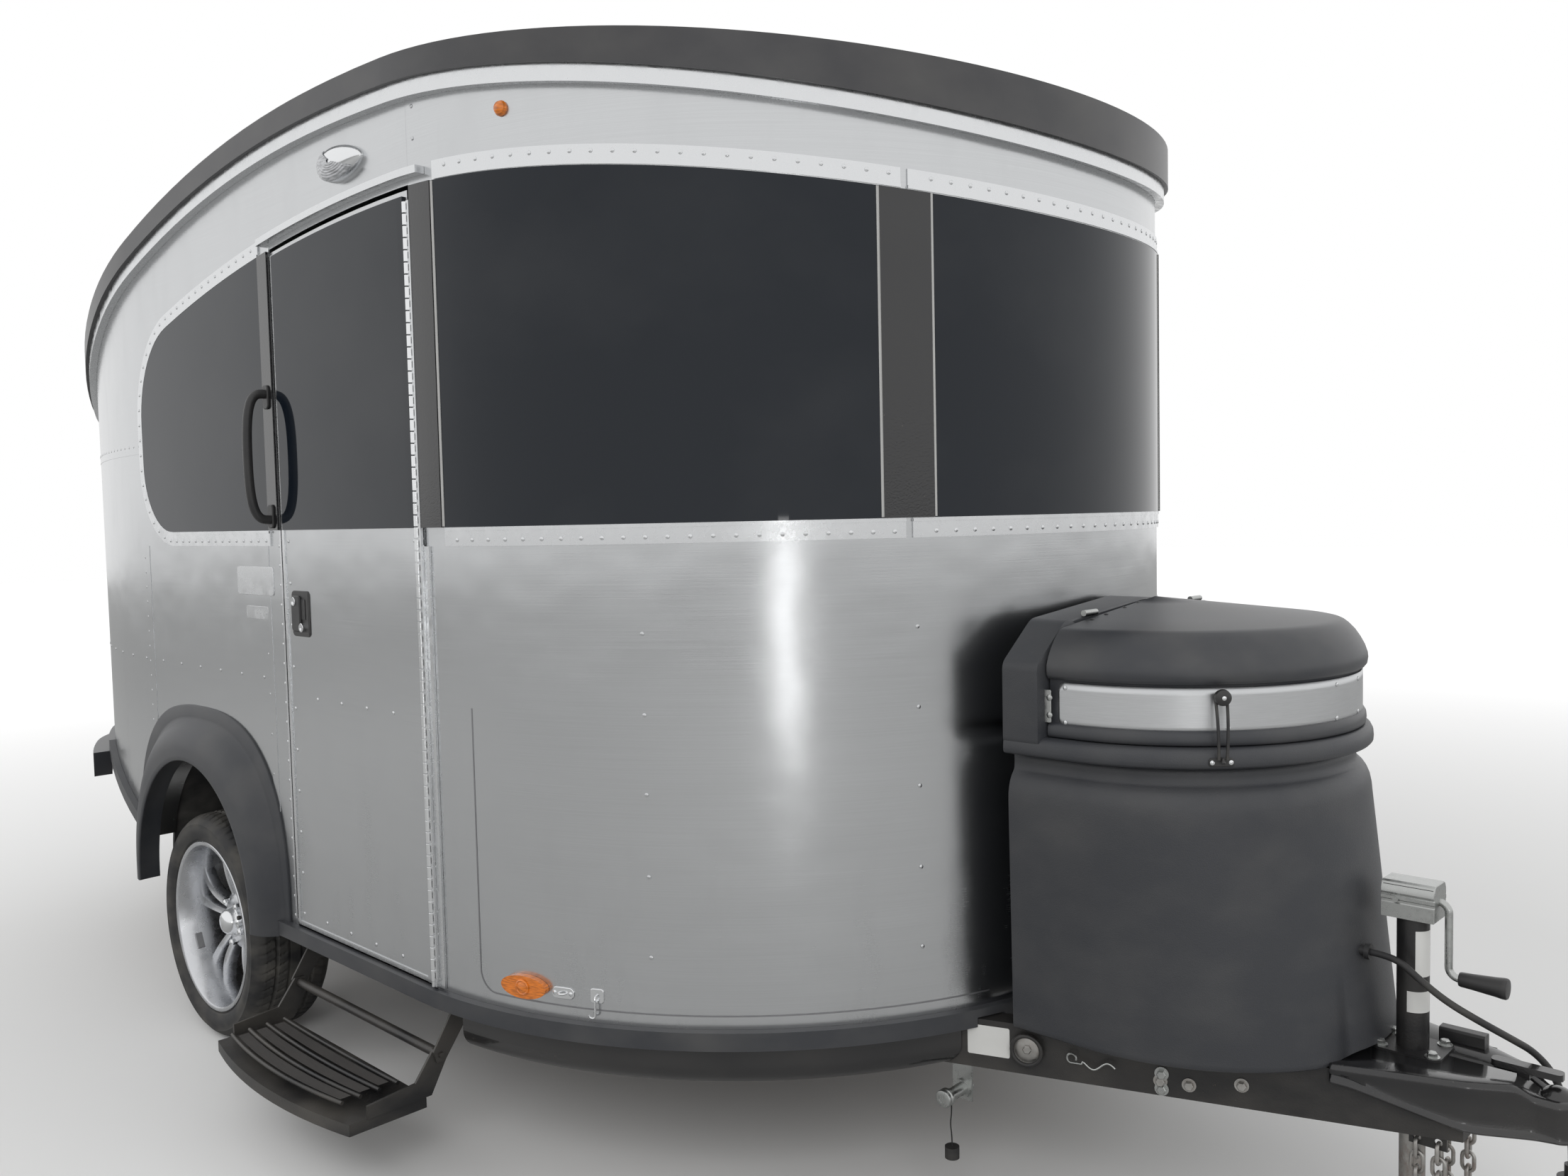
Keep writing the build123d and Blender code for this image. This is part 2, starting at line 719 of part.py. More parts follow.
# Chassis: two rails that meet at the tongue, cross members, outriggers and step brackets
half_tube = frame_tube_width / 2
rail_sides = sill_slab(sill - frame_bottom, sill - frame_top)
tongue_slope = math.tan(math.radians(tongue_angle))
tongue_skew = half_tube / math.cos(math.radians(tongue_angle))
frame = None
for side in (-1, 1):
    rail = plan_block(rail_plan(side, 0), 0, high) & rail_sides
    frame = rail if frame is None else frame + rail
rear_member_x = rear_frame_x + half_tube
member_places = (front_centre + 536, front_centre + 66, door_rear_x - 55, axle_x - 460, rear_member_x)
for x in member_places:
    member = box(x - half_tube, x + half_tube, -main_rail_y, main_rail_y, up(0), up(high))
    frame = frame + (member & rail_sides)
sill_beam_y = half_width - 97
sill_beam_half = 15
sill_beam_x = (door_rear_x - 85, door_hinge_x + 66)
sill_beam_low = frame_bottom + 60
outrigger_low = frame_bottom + 40
inside_skirt = column(30)
for x in (front_centre + 486, door_hinge_x + 46, door_rear_x - 65):
    bar = box(x - 20, x + 20, -sill_beam_y, sill_beam_y, up(outrigger_low), up(frame_top) - seat)
    frame = frame + (bar & inside_skirt)
for side in (-1, 1):
    y0 = side * sill_beam_y - sill_beam_half
    y1 = side * sill_beam_y + sill_beam_half
    frame = frame + box(*sill_beam_x, y0, y1, up(sill_beam_low), up(frame_top) - seat)

# The entry step hangs from two brackets on the curb-side sill beam
step_x0 = door_rear_x - 5
step_x1 = door_hinge_x - 10
step_pin_y = -half_width - 1
step_pin_height = 286
step_pin_radius = 6
step_ear = 6
bracket_thick = 6
bracket_clear = 1
bracket_outline = (
    (step_pin_y - 18, step_pin_height + 10),
    (step_pin_y - 10, step_pin_height - 16),
    (step_pin_y + 10, step_pin_height - 16),
    (-sill_beam_y - sill_beam_half + 4, sill_beam_low),
    (-sill_beam_y - sill_beam_half + 4, frame_top - 20),
    (step_pin_y + 40, frame_top - 30),
)
for x in (step_x0 - step_ear - bracket_clear - bracket_thick, step_x1 + step_ear + bracket_clear):
    bracket = cross_plate(list(bracket_outline), x, x + bracket_thick)
    hole = disc(x, step_pin_y, up(step_pin_height), step_pin_radius + seat, 40, "X")
    frame = frame + (bracket - hole)

# Ears under the rear cross member carry the two stabiliser legs
leg_y = 520
leg_half = 16
leg_pin_x = rear_member_x + 6
leg_pin_drop = 25
leg_pin_height = frame_bottom + kick_rise - leg_pin_drop
leg_pin_radius = 8
ear_thick = 6
for side in (-1, 1):
    for shift in (-leg_half - 1 - ear_thick, leg_half + 1):
        y0 = side * leg_y + shift
        ear_low = up(leg_pin_height - 20)
        ear_high = up(leg_pin_height + leg_pin_drop + 10)
        ear = box(leg_pin_x - 22, leg_pin_x + 22, y0, y0 + ear_thick, ear_low, ear_high)
        hole = disc(leg_pin_x, side * leg_y, up(leg_pin_height), leg_pin_radius + seat, 60, "Y")
        frame = frame + ear - hole

# Chain plates under the tongue rails, each with two holes
link_bar = 8
link_inner = (30, 13)
link_outer = (link_inner[0] + 2 * link_bar, link_inner[1] + 2 * link_bar)
link_straight = link_inner[0] / 2 - link_inner[1] / 2
link_corner = math.tan(math.radians(22.5)) * link_inner[1] / 2


def link_reach(off):
    """How far the hole in a link goes beyond its straight part, at a distance from its middle line."""
    return link_inner[1] / 2 - max(0, off - link_corner)


crossing = link_reach(link_bar / 2)
link_pitch = 2 * (link_straight + crossing) - seat
strand_offset = (link_straight + crossing + link_outer[0] / 2) / 2
bottom_half = strand_offset - link_straight - crossing + seat
bottom_rise = link_straight - link_bar / 2 + link_reach(bottom_half)
chain_x = -186
chain_y = tongue_tip_y + (tongue_tip_x - chain_x) * tongue_slope
chain_hole_radius = 7
chain_hole_height = frame_bottom - 15
chain_plate_half = 2.5
for side in (-1, 1):
    plate = box(
        chain_x - strand_offset - 14,
        chain_x + strand_offset + 14,
        side * chain_y - chain_plate_half,
        side * chain_y + chain_plate_half,
        up(chain_hole_height - 13),
        up(frame_bottom + 3),
    )
    for end in (-1, 1):
        hole_x = chain_x + end * strand_offset
        plate = plate - disc(hole_x, side * chain_y, up(chain_hole_height), chain_hole_radius, 20, "Y")
    frame = frame + plate
save("chassis_frame", frame)

# Safety chains: each hangs in a loop from both holes of its plate
link_planes = (((0, 0, 1), (1, 0, 0)), ((0, 0, 1), (0, 1, 0)))
links_down = 6
hole_drop = math.sqrt(chain_hole_radius ** 2 - (link_bar / 2) ** 2)
top_link = up(chain_hole_height) - hole_drop + seat - link_straight - link_reach(chain_plate_half)
links = []
for side in (-1, 1):
    for end in (-1, 1):
        for k in range(links_down):
            x_dir, z_dir = link_planes[k % 2]
            place = (chain_x + end * strand_offset, side * chain_y, top_link - k * link_pitch)
            links.append((place, x_dir, z_dir))
    lowest = top_link - (links_down - 1) * link_pitch - bottom_rise
    links.append(((chain_x, side * chain_y, lowest), (1, 0, 0), (0, 0, 1)))


def link_outline(length, width):
    """Oblong whose ends are made of three straight edges."""
    half = width / 2
    straight = length / 2 - half
    corner = math.tan(math.radians(22.5)) * half
    ring = [(straight + half, -corner), (straight + half, corner), (straight + corner, half)]
    ring = ring + [(-straight - corner, half), (-straight - half, corner), (-straight - half, -corner)]
    ring = ring + [(-straight - corner, -half), (straight + corner, -half)]
    return outline([(x, y, 0) for x, y in ring])


link_face = link_outline(*link_outer) - link_outline(*link_inner)
chain = [
    extrude(Plane(place, x_dir=x_dir, z_dir=z_dir) * link_face, amount=link_bar / 2, both=True)
    for place, x_dir, z_dir in links
]
save("safety_chains", *chain)

# Skirt round the front, under the floor, open between the tongue rails
skirt_low = 312
skirt_rear_x = -1850
skirt_inset = 6
skirt_thick = 18
skirt_top = sill - seat
skirt = extrude(Pos(0, 0, up(skirt_low)) * plan_face(skirt_inset)[0], amount=skirt_top - skirt_low)
skirt = fillet(skirt.faces().sort_by(Axis.Z)[0].edges(), 45)
skirt = (skirt - column(skirt_inset + skirt_thick)) & box(skirt_rear_x, 0, -wide, wide, up(0), up(high))
grown = [rail_plan(side, rail_clear) for side in (1, -1)]
between = [grown[0][1], grown[0][2], grown[1][2], grown[1][1]]
save("front_skirt", skirt - plan_block(between, 0, high))

# Axle: a tube under the rails, trailing arms, drums and the spindles that carry the wheels
axle_tube_radius = 38
axle_tube_gap = 6
axle_tube_height = frame_bottom - axle_tube_gap - axle_tube_radius
axle_tube_x = axle_x + 130
arm_inner_y = 790
arm_outer_y = 830
axle = disc(axle_tube_x, 0, up(axle_tube_height), axle_tube_radius, 2 * arm_inner_y + 10, "Y")


def link_plate(start, start_radius, end, end_radius, y0, y1):
    """Plate along Y between two round ends, each given by x, height and radius."""
    (xa, za), (xb, zb) = start, end
    length = math.hypot(xb - xa, zb - za)
    nx = -(zb - za) / length
    nz = (xb - xa) / length
    middle = (y0 + y1) / 2
    body = side_plate(
        [
            (xa + nx * start_radius, za + nz * start_radius),
            (xb + nx * end_radius, zb + nz * end_radius),
            (xb - nx * end_radius, zb - nz * end_radius),
            (xa - nx * start_radius, za - nz * start_radius),
        ],
        y0,
        y1,
    )
    body = body + disc(xa, middle, up(za), start_radius, abs(y1 - y0), "Y")
    return body + disc(xb, middle, up(zb), end_radius, abs(y1 - y0), "Y")


drum_radius = 125
drum_y = (arm_outer_y, 890)
spindle_end_y = 992
for side in (-1, 1):
    saddle = box(
        axle_tube_x - axle_tube_radius,
        axle_tube_x + axle_tube_radius,
        side * (main_rail_y - half_tube),
        side * (main_rail_y + half_tube),
        up(axle_tube_height),
        up(frame_bottom) - seat,
    )
    arm = link_plate(
        (axle_tube_x, axle_tube_height),
        axle_tube_radius + 8,
        (axle_x, wheel_centre_height),
        spindle_radius + 8,
        side * arm_inner_y,
        side * arm_outer_y,
    )
    drum_length = drum_y[1] - drum_y[0] + 4
    drum = disc(axle_x, side * sum(drum_y) / 2, up(wheel_centre_height), drum_radius, drum_length, "Y")
    spindle_length = spindle_end_y - arm_inner_y
    spindle = disc(
        axle_x,
        side * (spindle_end_y + arm_inner_y) / 2,
        up(wheel_centre_height),
        spindle_radius,
        spindle_length,
        "Y",
    )
    axle = axle + saddle + arm + drum + spindle
save("axle", axle)

# Wheels
spoke_count = 5
spoke_lean = 9          # each spoke is split into two blades, this many degrees either side
tyre_mid_y = tyre_outer_y - tyre_width / 2
tyre_half = tyre_width / 2
bead = 92               # half width of the rim between the tyre's beads
# tyre section: radius, distance outward from the tyre's middle
tyre_section = (
    (rim_radius - 2, -bead),
    (rim_radius + 24, -tyre_half + 2),
    (tyre_radius - 24, -tyre_half + 6),
    (tyre_radius - 4, -tyre_half + 28),
    (tyre_radius, 0),
    (tyre_radius - 4, tyre_half - 28),
    (tyre_radius - 24, tyre_half - 6),
    (rim_radius + 24, tyre_half - 2),
    (rim_radius - 2, bead),
)
# rim section: radius, distance outward, along the barrel's outside and back along its inside
rim_section = (
    (rim_radius - 2 - seat, bead),
    (rim_radius + 6, bead + 6.5),
    (rim_radius + 6, bead + 12),
    (rim_radius - 6, bead + 12),
    (rim_radius - 16, bead - 4),
    (rim_radius - 26, 20),
    (rim_radius - 26, -60),
    (rim_radius - 12, -bead - 12),
    (rim_radius + 6, -bead - 12),
    (rim_radius + 6, -bead - 6.5),
    (rim_radius - 2 - seat, -bead),
    (rim_radius - 10, -60),
    (rim_radius - 18, -20),
    (rim_radius - 18, 20),
    (rim_radius - 8, bead - 8),
)
hub_bore = spindle_radius + 0.4
hub_section = ((hub_bore, 0), (82, 0), (86, 10), (80, 26), (hub_bore, 30))
cap_section_points = ((0.5, 22), (39, 22), (39, 44), (30, 58), (16, 66), (0.5, 68))


def turned(section, side):
    """Ring turned about the axle from a section of radius and distance outward."""
    points = [(axle_x, side * (tyre_mid_y + out), up(wheel_centre_height) + r) for r, out in section]
    return revolve(outline(points), Axis((axle_x, 0, up(wheel_centre_height)), (0, 1, 0)), 360)


for side_name, side in (("curb", -1), ("street", 1)):
    save(f"tyre_{side_name}", turned(tyre_section, side))
    rim = turned(rim_section, side) + turned(hub_section, side) + turned(cap_section_points, side)
    blade = loft([Pos(0, 0, 60) * Rectangle(24, 24), Pos(0, 0, rim_radius - 20) * Rectangle(34, 26)])
    for k in range(spoke_count):
        for lean in (-spoke_lean, spoke_lean):
            turn = Rot(0, 360 / spoke_count * k + lean, 0)
            rim = rim + Pos(axle_x, side * (tyre_mid_y + 24), up(wheel_centre_height)) * turn * blade
    save(f"rim_{side_name}", rim)

# Rear bumper, a band round the corners on two brackets from the frame
bumper_low = 610
bumper_high = 692
bumper_inner = 14
bumper_thick = 56
bumper_front_x = -4210
bumper = jacket(-bumper_inner - bumper_thick, -bumper_inner)
bumper = bumper & box(back, bumper_front_x, -wide, wide, up(bumper_low), up(bumper_high))
bracket_rear_x = rear_x + rear_sag(main_rail_y + half_tube) - bumper_inner - 10
for side in (-1, 1):
    bumper = bumper + box(
        bracket_rear_x,
        rear_frame_x - seat,
        side * (main_rail_y - 20),
        side * (main_rail_y + 20),
        up(frame_bottom + kick_rise + 5),
        up(bumper_high - 10),
    )
save("rear_bumper", bumper)

# Rear stabiliser legs, folded up under the frame
leg_length = 566
foot_half = 50
for side_name, side in (("curb", -1), ("street", 1)):
    y = side * leg_y
    z = leg_pin_height
    end_x = leg_pin_x + leg_length
    leg = link_plate((leg_pin_x, z), leg_half, (end_x - 20, z), leg_half, y - leg_half, y + leg_half)
    pad = box(end_x - 8, end_x, y - foot_half, y + foot_half, up(z - foot_half), up(z + leg_half))
    pin = disc(leg_pin_x, y, up(z), leg_pin_radius, 2 * (leg_half + ear_thick + 5), "Y")
    neck = box(end_x - 40, end_x - 4, y - 10, y + 10, up(z - 10), up(z + 10))
    save(f"rear_leg_{side_name}", leg + neck + pad + pin)

# Folding entry step: a bowed tread with a hollow underside between two ears on a cross tube
tread_top = 226
tread_thick = 26
tread_rear_y = -1100
tread_front_y = -1282
tread_bow = 38
tread_middle = (step_x0 + step_x1) / 2
tread_face = Face(Wire([
    Line((step_x0, tread_rear_y), (step_x1, tread_rear_y)),
    Line((step_x1, tread_rear_y), (step_x1, tread_front_y)),
    ThreePointArc(
        (step_x1, tread_front_y), (tread_middle, tread_front_y - tread_bow), (step_x0, tread_front_y)
    ),
    Line((step_x0, tread_front_y), (step_x0, tread_rear_y)),
]))
tread_low = up(tread_top - tread_thick)
tread_wall = 7
tread_skin = 6
tread_hollow = Pos(0, 0, tread_low - 1) * offset(tread_face, amount=-tread_wall)
step = extrude(Pos(0, 0, tread_low) * tread_face, amount=tread_thick)
step = step - extrude(tread_hollow, amount=tread_thick - tread_skin + 1)
ear_outline = [
    (step_pin_y + 20, step_pin_height - 10),
    (step_pin_y + 12, step_pin_height + 14),
    (step_pin_y - 14, step_pin_height + 14),
    (step_pin_y - 60, tread_top + 12),
    (tread_front_y + 40, tread_top + 2),
    (tread_front_y + 40, tread_top - tread_thick),
    (tread_rear_y + 10, tread_top - tread_thick),
]
for x in (step_x0 - step_ear, step_x1 - 1):
    step = step + cross_plate(ear_outline, x, x + step_ear + 1)
step_width = step_x1 - step_x0 + 2 * step_ear
step = step + disc(tread_middle, step_pin_y, up(step_pin_height), 11, step_width - 2, "X")
pin_length = step_width + 2 * (bracket_clear + bracket_thick + 5)
step_pin = disc(tread_middle, step_pin_y, up(step_pin_height), step_pin_radius, pin_length, "X")
save("entry_step", step + step_pin)

# Gas bottle cover on the tongue. Levels: height, half width, end of the straight sides, nose
cover_rear = -876
cover_wall = 8
cover_straight = -724
collar_top = 1018
cover_levels = (
    (frame_top + seat, 390, -636, -286),
    (925, 398, cover_straight, -346),
    (945, 388, cover_straight, -356),
    (950, 376, cover_straight, -370),
    (978, 376, cover_straight, -370),
)
collar_levels = ((978, 414, cover_straight, -340), (collar_top, 414, cover_straight, -340))


def cover_face(level, inset, rear):
    """Plan of the cover at one level: straight sides and a half-ellipse nose."""
    height, half, straight, nose = level
    b = half - inset
    a = nose - straight - inset
    z = up(height)
    arc = Pos(straight, 0, z) * EllipticalCenterArc((0, 0), a, b, start_angle=-90, arc_size=180)
    sides = [(straight, b, z), (rear, b, z), (rear, -b, z), (straight, -b, z)]
    return Face(Wire([arc] + [Line(p, q) for p, q in zip(sides, sides[1:])]))


def stack(levels, inset, rear):
    """Block lofted from level to level."""
    block = None
    for low, top in zip(levels, levels[1:]):
        piece = loft([cover_face(low, inset, rear), cover_face(top, inset, rear)], ruled=True)
        block = piece if block is None else block + piece
    return block


def moved_level(level, height, grow=0):
    """A level at another height, its outline grown by a margin."""
    return (height, level[1] + grow, level[2], level[3] + grow)


lid_rear = -790
hood_top = 1240
hood_half = collar_levels[0][1]
hood = box(cover_rear, lid_rear, -hood_half, hood_half, up(collar_top - 1), up(hood_top))
for side in (-1, 1):
    corner = [(side * hood_half, 1160), (side * 310, hood_top + 1), (side * 430, hood_top + 1)]
    hood = hood - cross_plate(corner, cover_rear - 10, lid_rear + 10)
cover = stack(cover_levels, 0, cover_rear) + stack(collar_levels, 0, cover_rear) + hood
lid_pin_x = lid_rear + 2
lid_pin_height = hood_top + 10
lid_pin_radius = 6
lid_hinge_y = 230
knuckle_half = 8
knuckle_width = 2 * knuckle_half - 2


def lid_knuckle(y, x0, x1, low):
    """Hinge knuckle on the lid's pin line, with the ear that joins it to the cover or the lid."""
    ear = box(x0, x1, y - knuckle_width / 2, y + knuckle_width / 2, up(low), up(lid_pin_height))
    return ear + disc(lid_pin_x, y, up(lid_pin_height), lid_pin_radius, knuckle_width, "Y")


for side in (-1, 1):
    for shift in (-2 * knuckle_half, 2 * knuckle_half):
        y = side * lid_hinge_y + shift
        cover = cover + lid_knuckle(y, lid_rear - 14, lid_pin_x, hood_top - 6)
hollow_rear = cover_rear + cover_wall
neck = cover_levels[-1]
hollow_levels = (
    moved_level(cover_levels[0], frame_top - 10),
    cover_levels[1],
    moved_level(cover_levels[2], 945, -4),
    moved_level(neck, 960),
    moved_level(neck, 1030),
)
cover = cover - stack(hollow_levels, cover_wall, hollow_rear)
cover = cover - box(hollow_rear, lid_rear + 10, -neck[1] + 16, neck[1] - 16, up(940), up(1150))

# Coupler: a pressed channel over the tongue's tip with the ball housing at its nose
ball_radius = 25.4
socket_radius = ball_radius + 0.6
housing_radius = 39
coupler_plate = 8
coupler_top = frame_top + seat + coupler_plate
coupler_rear = -330
coupler_low = 336
nose_start = -22


def tongue_outer(x):
    """Distance of a tongue rail's outer face from the middle at a place along X."""
    return tongue_tip_y + tongue_skew + (tongue_tip_x - x) * tongue_slope


def coupler_block(grow, rear, low, top):
    """Block with the coupler's plan: along the rails' outer faces, then in to the ball housing."""
    w0 = tongue_outer(rear) + seat + coupler_plate + grow
    w1 = tongue_outer(tongue_tip_x) + seat + coupler_plate + grow
    r = housing_radius + grow
    right = [(rear, -w0), (tongue_tip_x, -w1), (nose_start, -r), (0, -r)]
    left = [(0, r), (nose_start, r), (tongue_tip_x, w1), (rear, w0), (rear, -w0)]
    edges = [Line(p, q) for p, q in zip(right, right[1:])] + [CenterArc((0, 0), r, -90, 180)]
    edges = edges + [Line(p, q) for p, q in zip(left, left[1:])]
    return extrude(Pos(0, 0, up(low)) * Face(Wire(edges)), amount=top - low)


coupler = coupler_block(0, coupler_rear, coupler_low, coupler_top)
hollow = coupler_block(-coupler_plate, coupler_rear - 5, coupler_low - 5, frame_top + seat)
hollow = hollow & box(-1000, -housing_radius, -wide, wide, up(0), up(high))
coupler = (coupler - hollow) + Sphere(housing_radius)
coupler = coupler + disc(0, 0, (up(coupler_low)) / 2, housing_radius, -up(coupler_low), "Z")
socket = disc(0, 0, up(coupler_low) / 2 - 5, socket_radius, -up(coupler_low) + 10, "Z")
coupler = coupler - socket - Sphere(socket_radius)
jack_x = -241
jack_tube = 28.5
jack_hole = disc(jack_x, 0, up(frame_top), jack_tube + 1, 60, "Z")
save("coupler", coupler - jack_hole)
lever_low = coupler_top + 12
lever = box(-105, 10, -13, 13, up(lever_low), up(lever_low + 12))
lever_post = box(-62, -42, -10, 10, up(coupler_top) + seat, up(lever_low + 2))
save("coupler_latch", fillet(lever.edges().filter_by(Axis.Z), 9) + lever_post)

# The cover stands on the rails, cut out over the coupler and the jack's flange
flange_half_x = 62
flange_half_y = 52
flange_thick = 8
cover_clear = 4
flange_top = coupler_top + seat + flange_thick
room_rear = coupler_rear - cover_clear
cover = cover - coupler_block(cover_clear, room_rear, frame_bottom, coupler_top + cover_clear)
cover = cover - box(
    jack_x - flange_half_x - cover_clear,
    jack_x + flange_half_x + cover_clear,
    -flange_half_y - cover_clear,
    flange_half_y + cover_clear,
    up(frame_top) - 10,
    up(flange_top + cover_clear),
)
gland_y = -62
gland_height = 616
gland_radius = 10
gland_x = -296
cover = cover - disc(gland_x, gland_y, up(gland_height), gland_radius + seat, 80, "X")
save("cover_base", cover)

# Lid, its rubber strip and the rubber latch that holds it down
lid_levels = (
    (collar_top + seat, 386, cover_straight, -362),
    (1140, 386, cover_straight, -362),
    (1185, 366, cover_straight, -378),
    (1225, 312, cover_straight, -416),
    (1262, 60, cover_straight, -660),
)
lid_back = lid_rear + door_gap
lid = stack(lid_levels, 0, lid_back)
lid_hollow = (
    moved_level(lid_levels[0], collar_top - 10),
    moved_level(lid_levels[1], 1180),
    (1210, 320, cover_straight, -420),
)
lid = lid - stack(lid_hollow, cover_wall, lid_back + cover_wall)
for side in (-1, 1):
    lid = lid + lid_knuckle(side * lid_hinge_y, lid_pin_x, lid_pin_x + 20, hood_top - 12)
save("cover_lid", lid)
strip_proud = 3
strip_low = 1050
strip_high = 1130
strip_levels = [moved_level(lid_levels[0], height, strip_proud) for height in (strip_low, strip_high)]
strip_spans = (strip_low - 10, strip_high + 10)
strip_back = [moved_level(lid_levels[0], height, seat) for height in strip_spans]
strip = stack(strip_levels, 0, lid_rear + 60) - stack(strip_back, 0, lid_rear)
save("cover_strip", strip & box(lid_rear + 75, 0, -wide, wide, up(0), up(high)))
strip_b = strip_levels[0][1]
strip_a = strip_levels[0][3] - cover_straight
latch_a = math.radians(-40)
latch_place = Pos(cover_straight + strip_a * math.cos(latch_a), strip_b * math.sin(latch_a), 0)
latch_turn = math.degrees(math.atan2(math.sin(latch_a) / strip_b, math.cos(latch_a) / strip_a))
latch_place = latch_place * Rot(0, 0, latch_turn)
strap = box(seat, seat + 8, -11, 11, up(1040), up(strip_high))
knob = disc(seat + 11, 0, up(strip_high - 8), 15, 22, "X")
save("cover_latch", latch_place * (strap + knob))

# Gas bottles on their tray
tray_thick = 6
tray_top = up(frame_top) + seat + tray_thick
# bottle section: radius, distance above the tray
bottle_section = ((0, 30), (100, 32), (138, 52), (152, 90), (152, 310), (138, 348), (100, 368), (0, 370))
bottle_x = -690
bottle_y = 165
bottles = []
for y in (-bottle_y, bottle_y):
    base = tray_top + seat
    body_face = outline([(bottle_x + r, y, base + rise) for r, rise in bottle_section])
    body = revolve(body_face, Axis((bottle_x, y, 0), (0, 0, 1)), 360)
    foot_ring = disc(bottle_x, y, base + 25, 105, 50, "Z") - disc(bottle_x, y, base + 25, 98, 52, "Z")
    neck = disc(bottle_x, y, base + 395, 18, 70, "Z")
    guard = disc(bottle_x, y, base + 410, 100, 100, "Z") - disc(bottle_x, y, base + 410, 95, 102, "Z")
    guard = guard - box(bottle_x - 40, bottle_x + 200, y - 45, y + 45, base + 380, base + 480)
    bottles.append(body + foot_ring + neck + guard)
save("gas_bottles", *bottles)
tray = box(bottle_x - 170, bottle_x + 170, -330, 330, up(frame_top) + seat, tray_top)
save("bottle_tray", tray + disc(bottle_x, 0, tray_top + 235, 8, 472, "Z"))

# Tongue jack: outer tube, flange and gear head, with the leg inside and the crank in front
jack_top = 683
jack_low = 318
jack_body = disc(jack_x, 0, up((jack_low + jack_top) / 2), jack_tube, jack_top - jack_low, "Z")
flange = box(
    jack_x - flange_half_x,
    jack_x + flange_half_x,
    -flange_half_y,
    flange_half_y,
    up(coupler_top) + seat,
    up(flange_top),
)
flange = fillet(flange.edges().filter_by(Axis.Z), 18)
head_half = 44
head = box(jack_x - head_half, jack_x + head_half, -32, 32, up(jack_top - 2), up(jack_top + 66))
head = fillet(head.edges().filter_by(Axis.X), 10)
leg_radius = 23
leg_bore = leg_radius + 0.6
leg_travel = 250
bore_top = jack_top + 1
bore = disc(jack_x, 0, up((jack_low - 5 + bore_top) / 2), leg_bore, bore_top - jack_low + 5, "Z")
crank_height = jack_top + 34
shaft_radius = 7
shaft_start = jack_x + 33
shaft_bore = disc(shaft_start + 7, 0, up(crank_height), shaft_radius + 0.4, 20, "X")
save("jack_body", (jack_body + flange + head) - bore - shaft_bore)
foot_radius = 62
foot_thick = 8
leg_top = bore_top - 3 - leg_travel
leg = disc(jack_x, 0, up((leg_top + 6) / 2), leg_radius, leg_top - 6, "Z")
foot = disc(jack_x, 0, up(foot_thick / 2), foot_radius, foot_thick, "Z")
foot = foot + disc(jack_x, 0, up(14), 30, 14, "Z")
save("jack_leg", leg + foot)
crank_arm = 138
crank_x = jack_x + 62
handle_low = crank_height - crank_arm
crank = rod((shaft_start, 0, up(crank_height)), (crank_x, 0, up(crank_height)), shaft_radius)
crank = crank + rod((crank_x, 0, up(crank_height)), (crank_x, 0, up(handle_low)), shaft_radius)
crank = crank + rod((crank_x, 0, up(handle_low)), (crank_x + 24, 0, up(handle_low)), shaft_radius)
crank = crank + Pos(crank_x + 60, 0, up(handle_low)) * Rot(0, 90, 0) * Cone(13, 19, 76)
for height in (crank_height, handle_low):
    crank = crank + Pos(crank_x, 0, up(height)) * Sphere(shaft_radius)
save("jack_crank", crank)

# Breakaway switch on the coupler's street side
switch_plate = 3
switch_low = up(coupler_top) + seat
switch = box(-215, -135, 66, 94, switch_low + 2, up(coupler_top + 30))
switch = fillet(switch.edges().filter_by(Axis.X), 5)
save("breakaway_switch", switch + box(-228, -122, 58, 98, switch_low, switch_low + switch_plate))


def cord(route, radius):
    """Round cord along straight runs joined by tangent arcs, each as large as its two runs allow."""
    points = [Vector(x, y, up(height)) for x, y, height in route]
    runs = [b - a for a, b in zip(points, points[1:])]
    radii = []
    for a, b in zip(runs, runs[1:]):
        turn = math.radians(a.get_angle(b))
        radii.append(0.45 * min(a.length, b.length) / math.tan(turn / 2))
    path = FilletPolyline(*points, radius=radii)
    print(f"cord of {path.length:.0f} mm, arc radii", [round(r) for r in radii])
    return sweep(Plane(points[0], z_dir=runs[0]) * Circle(radius), path)


# Trailer cable from the cover's nose, past the jack and over the coupler to its plug
cable_radius = 6.5
gland = disc(gland_x - 14, gland_y, up(gland_height), gland_radius, 28, "X")
gland = gland + disc(gland_x - 4.5, gland_y, up(gland_height), 15, 9, "X")
save("cable_gland", gland)
cable_route = (
    (gland_x, gland_y, gland_height),
    (-252, gland_y, gland_height),
    (-212, -66, 587),
    (-163, -66, 555),
    (-112, -50, 527),
    (-72, -14, 496),
    (-42, 34, 462),
    (-20, 76, 410),
    (-10, 101, 350),
    (0, 110, 288),
    (0, 110, 240),
)
save("trailer_cable", cord(cable_route, cable_radius))
plug_x, plug_y, plug_height = cable_route[-1]
plug = disc(plug_x, plug_y, up(plug_height - 15), 12, 30, "Z")
plug = plug + disc(plug_x, plug_y, up(plug_height - 55), 24, 60, "Z")
plug = plug + disc(plug_x, plug_y, up(plug_height - 92), 27, 16, "Z")
save("cable_plug", plug)

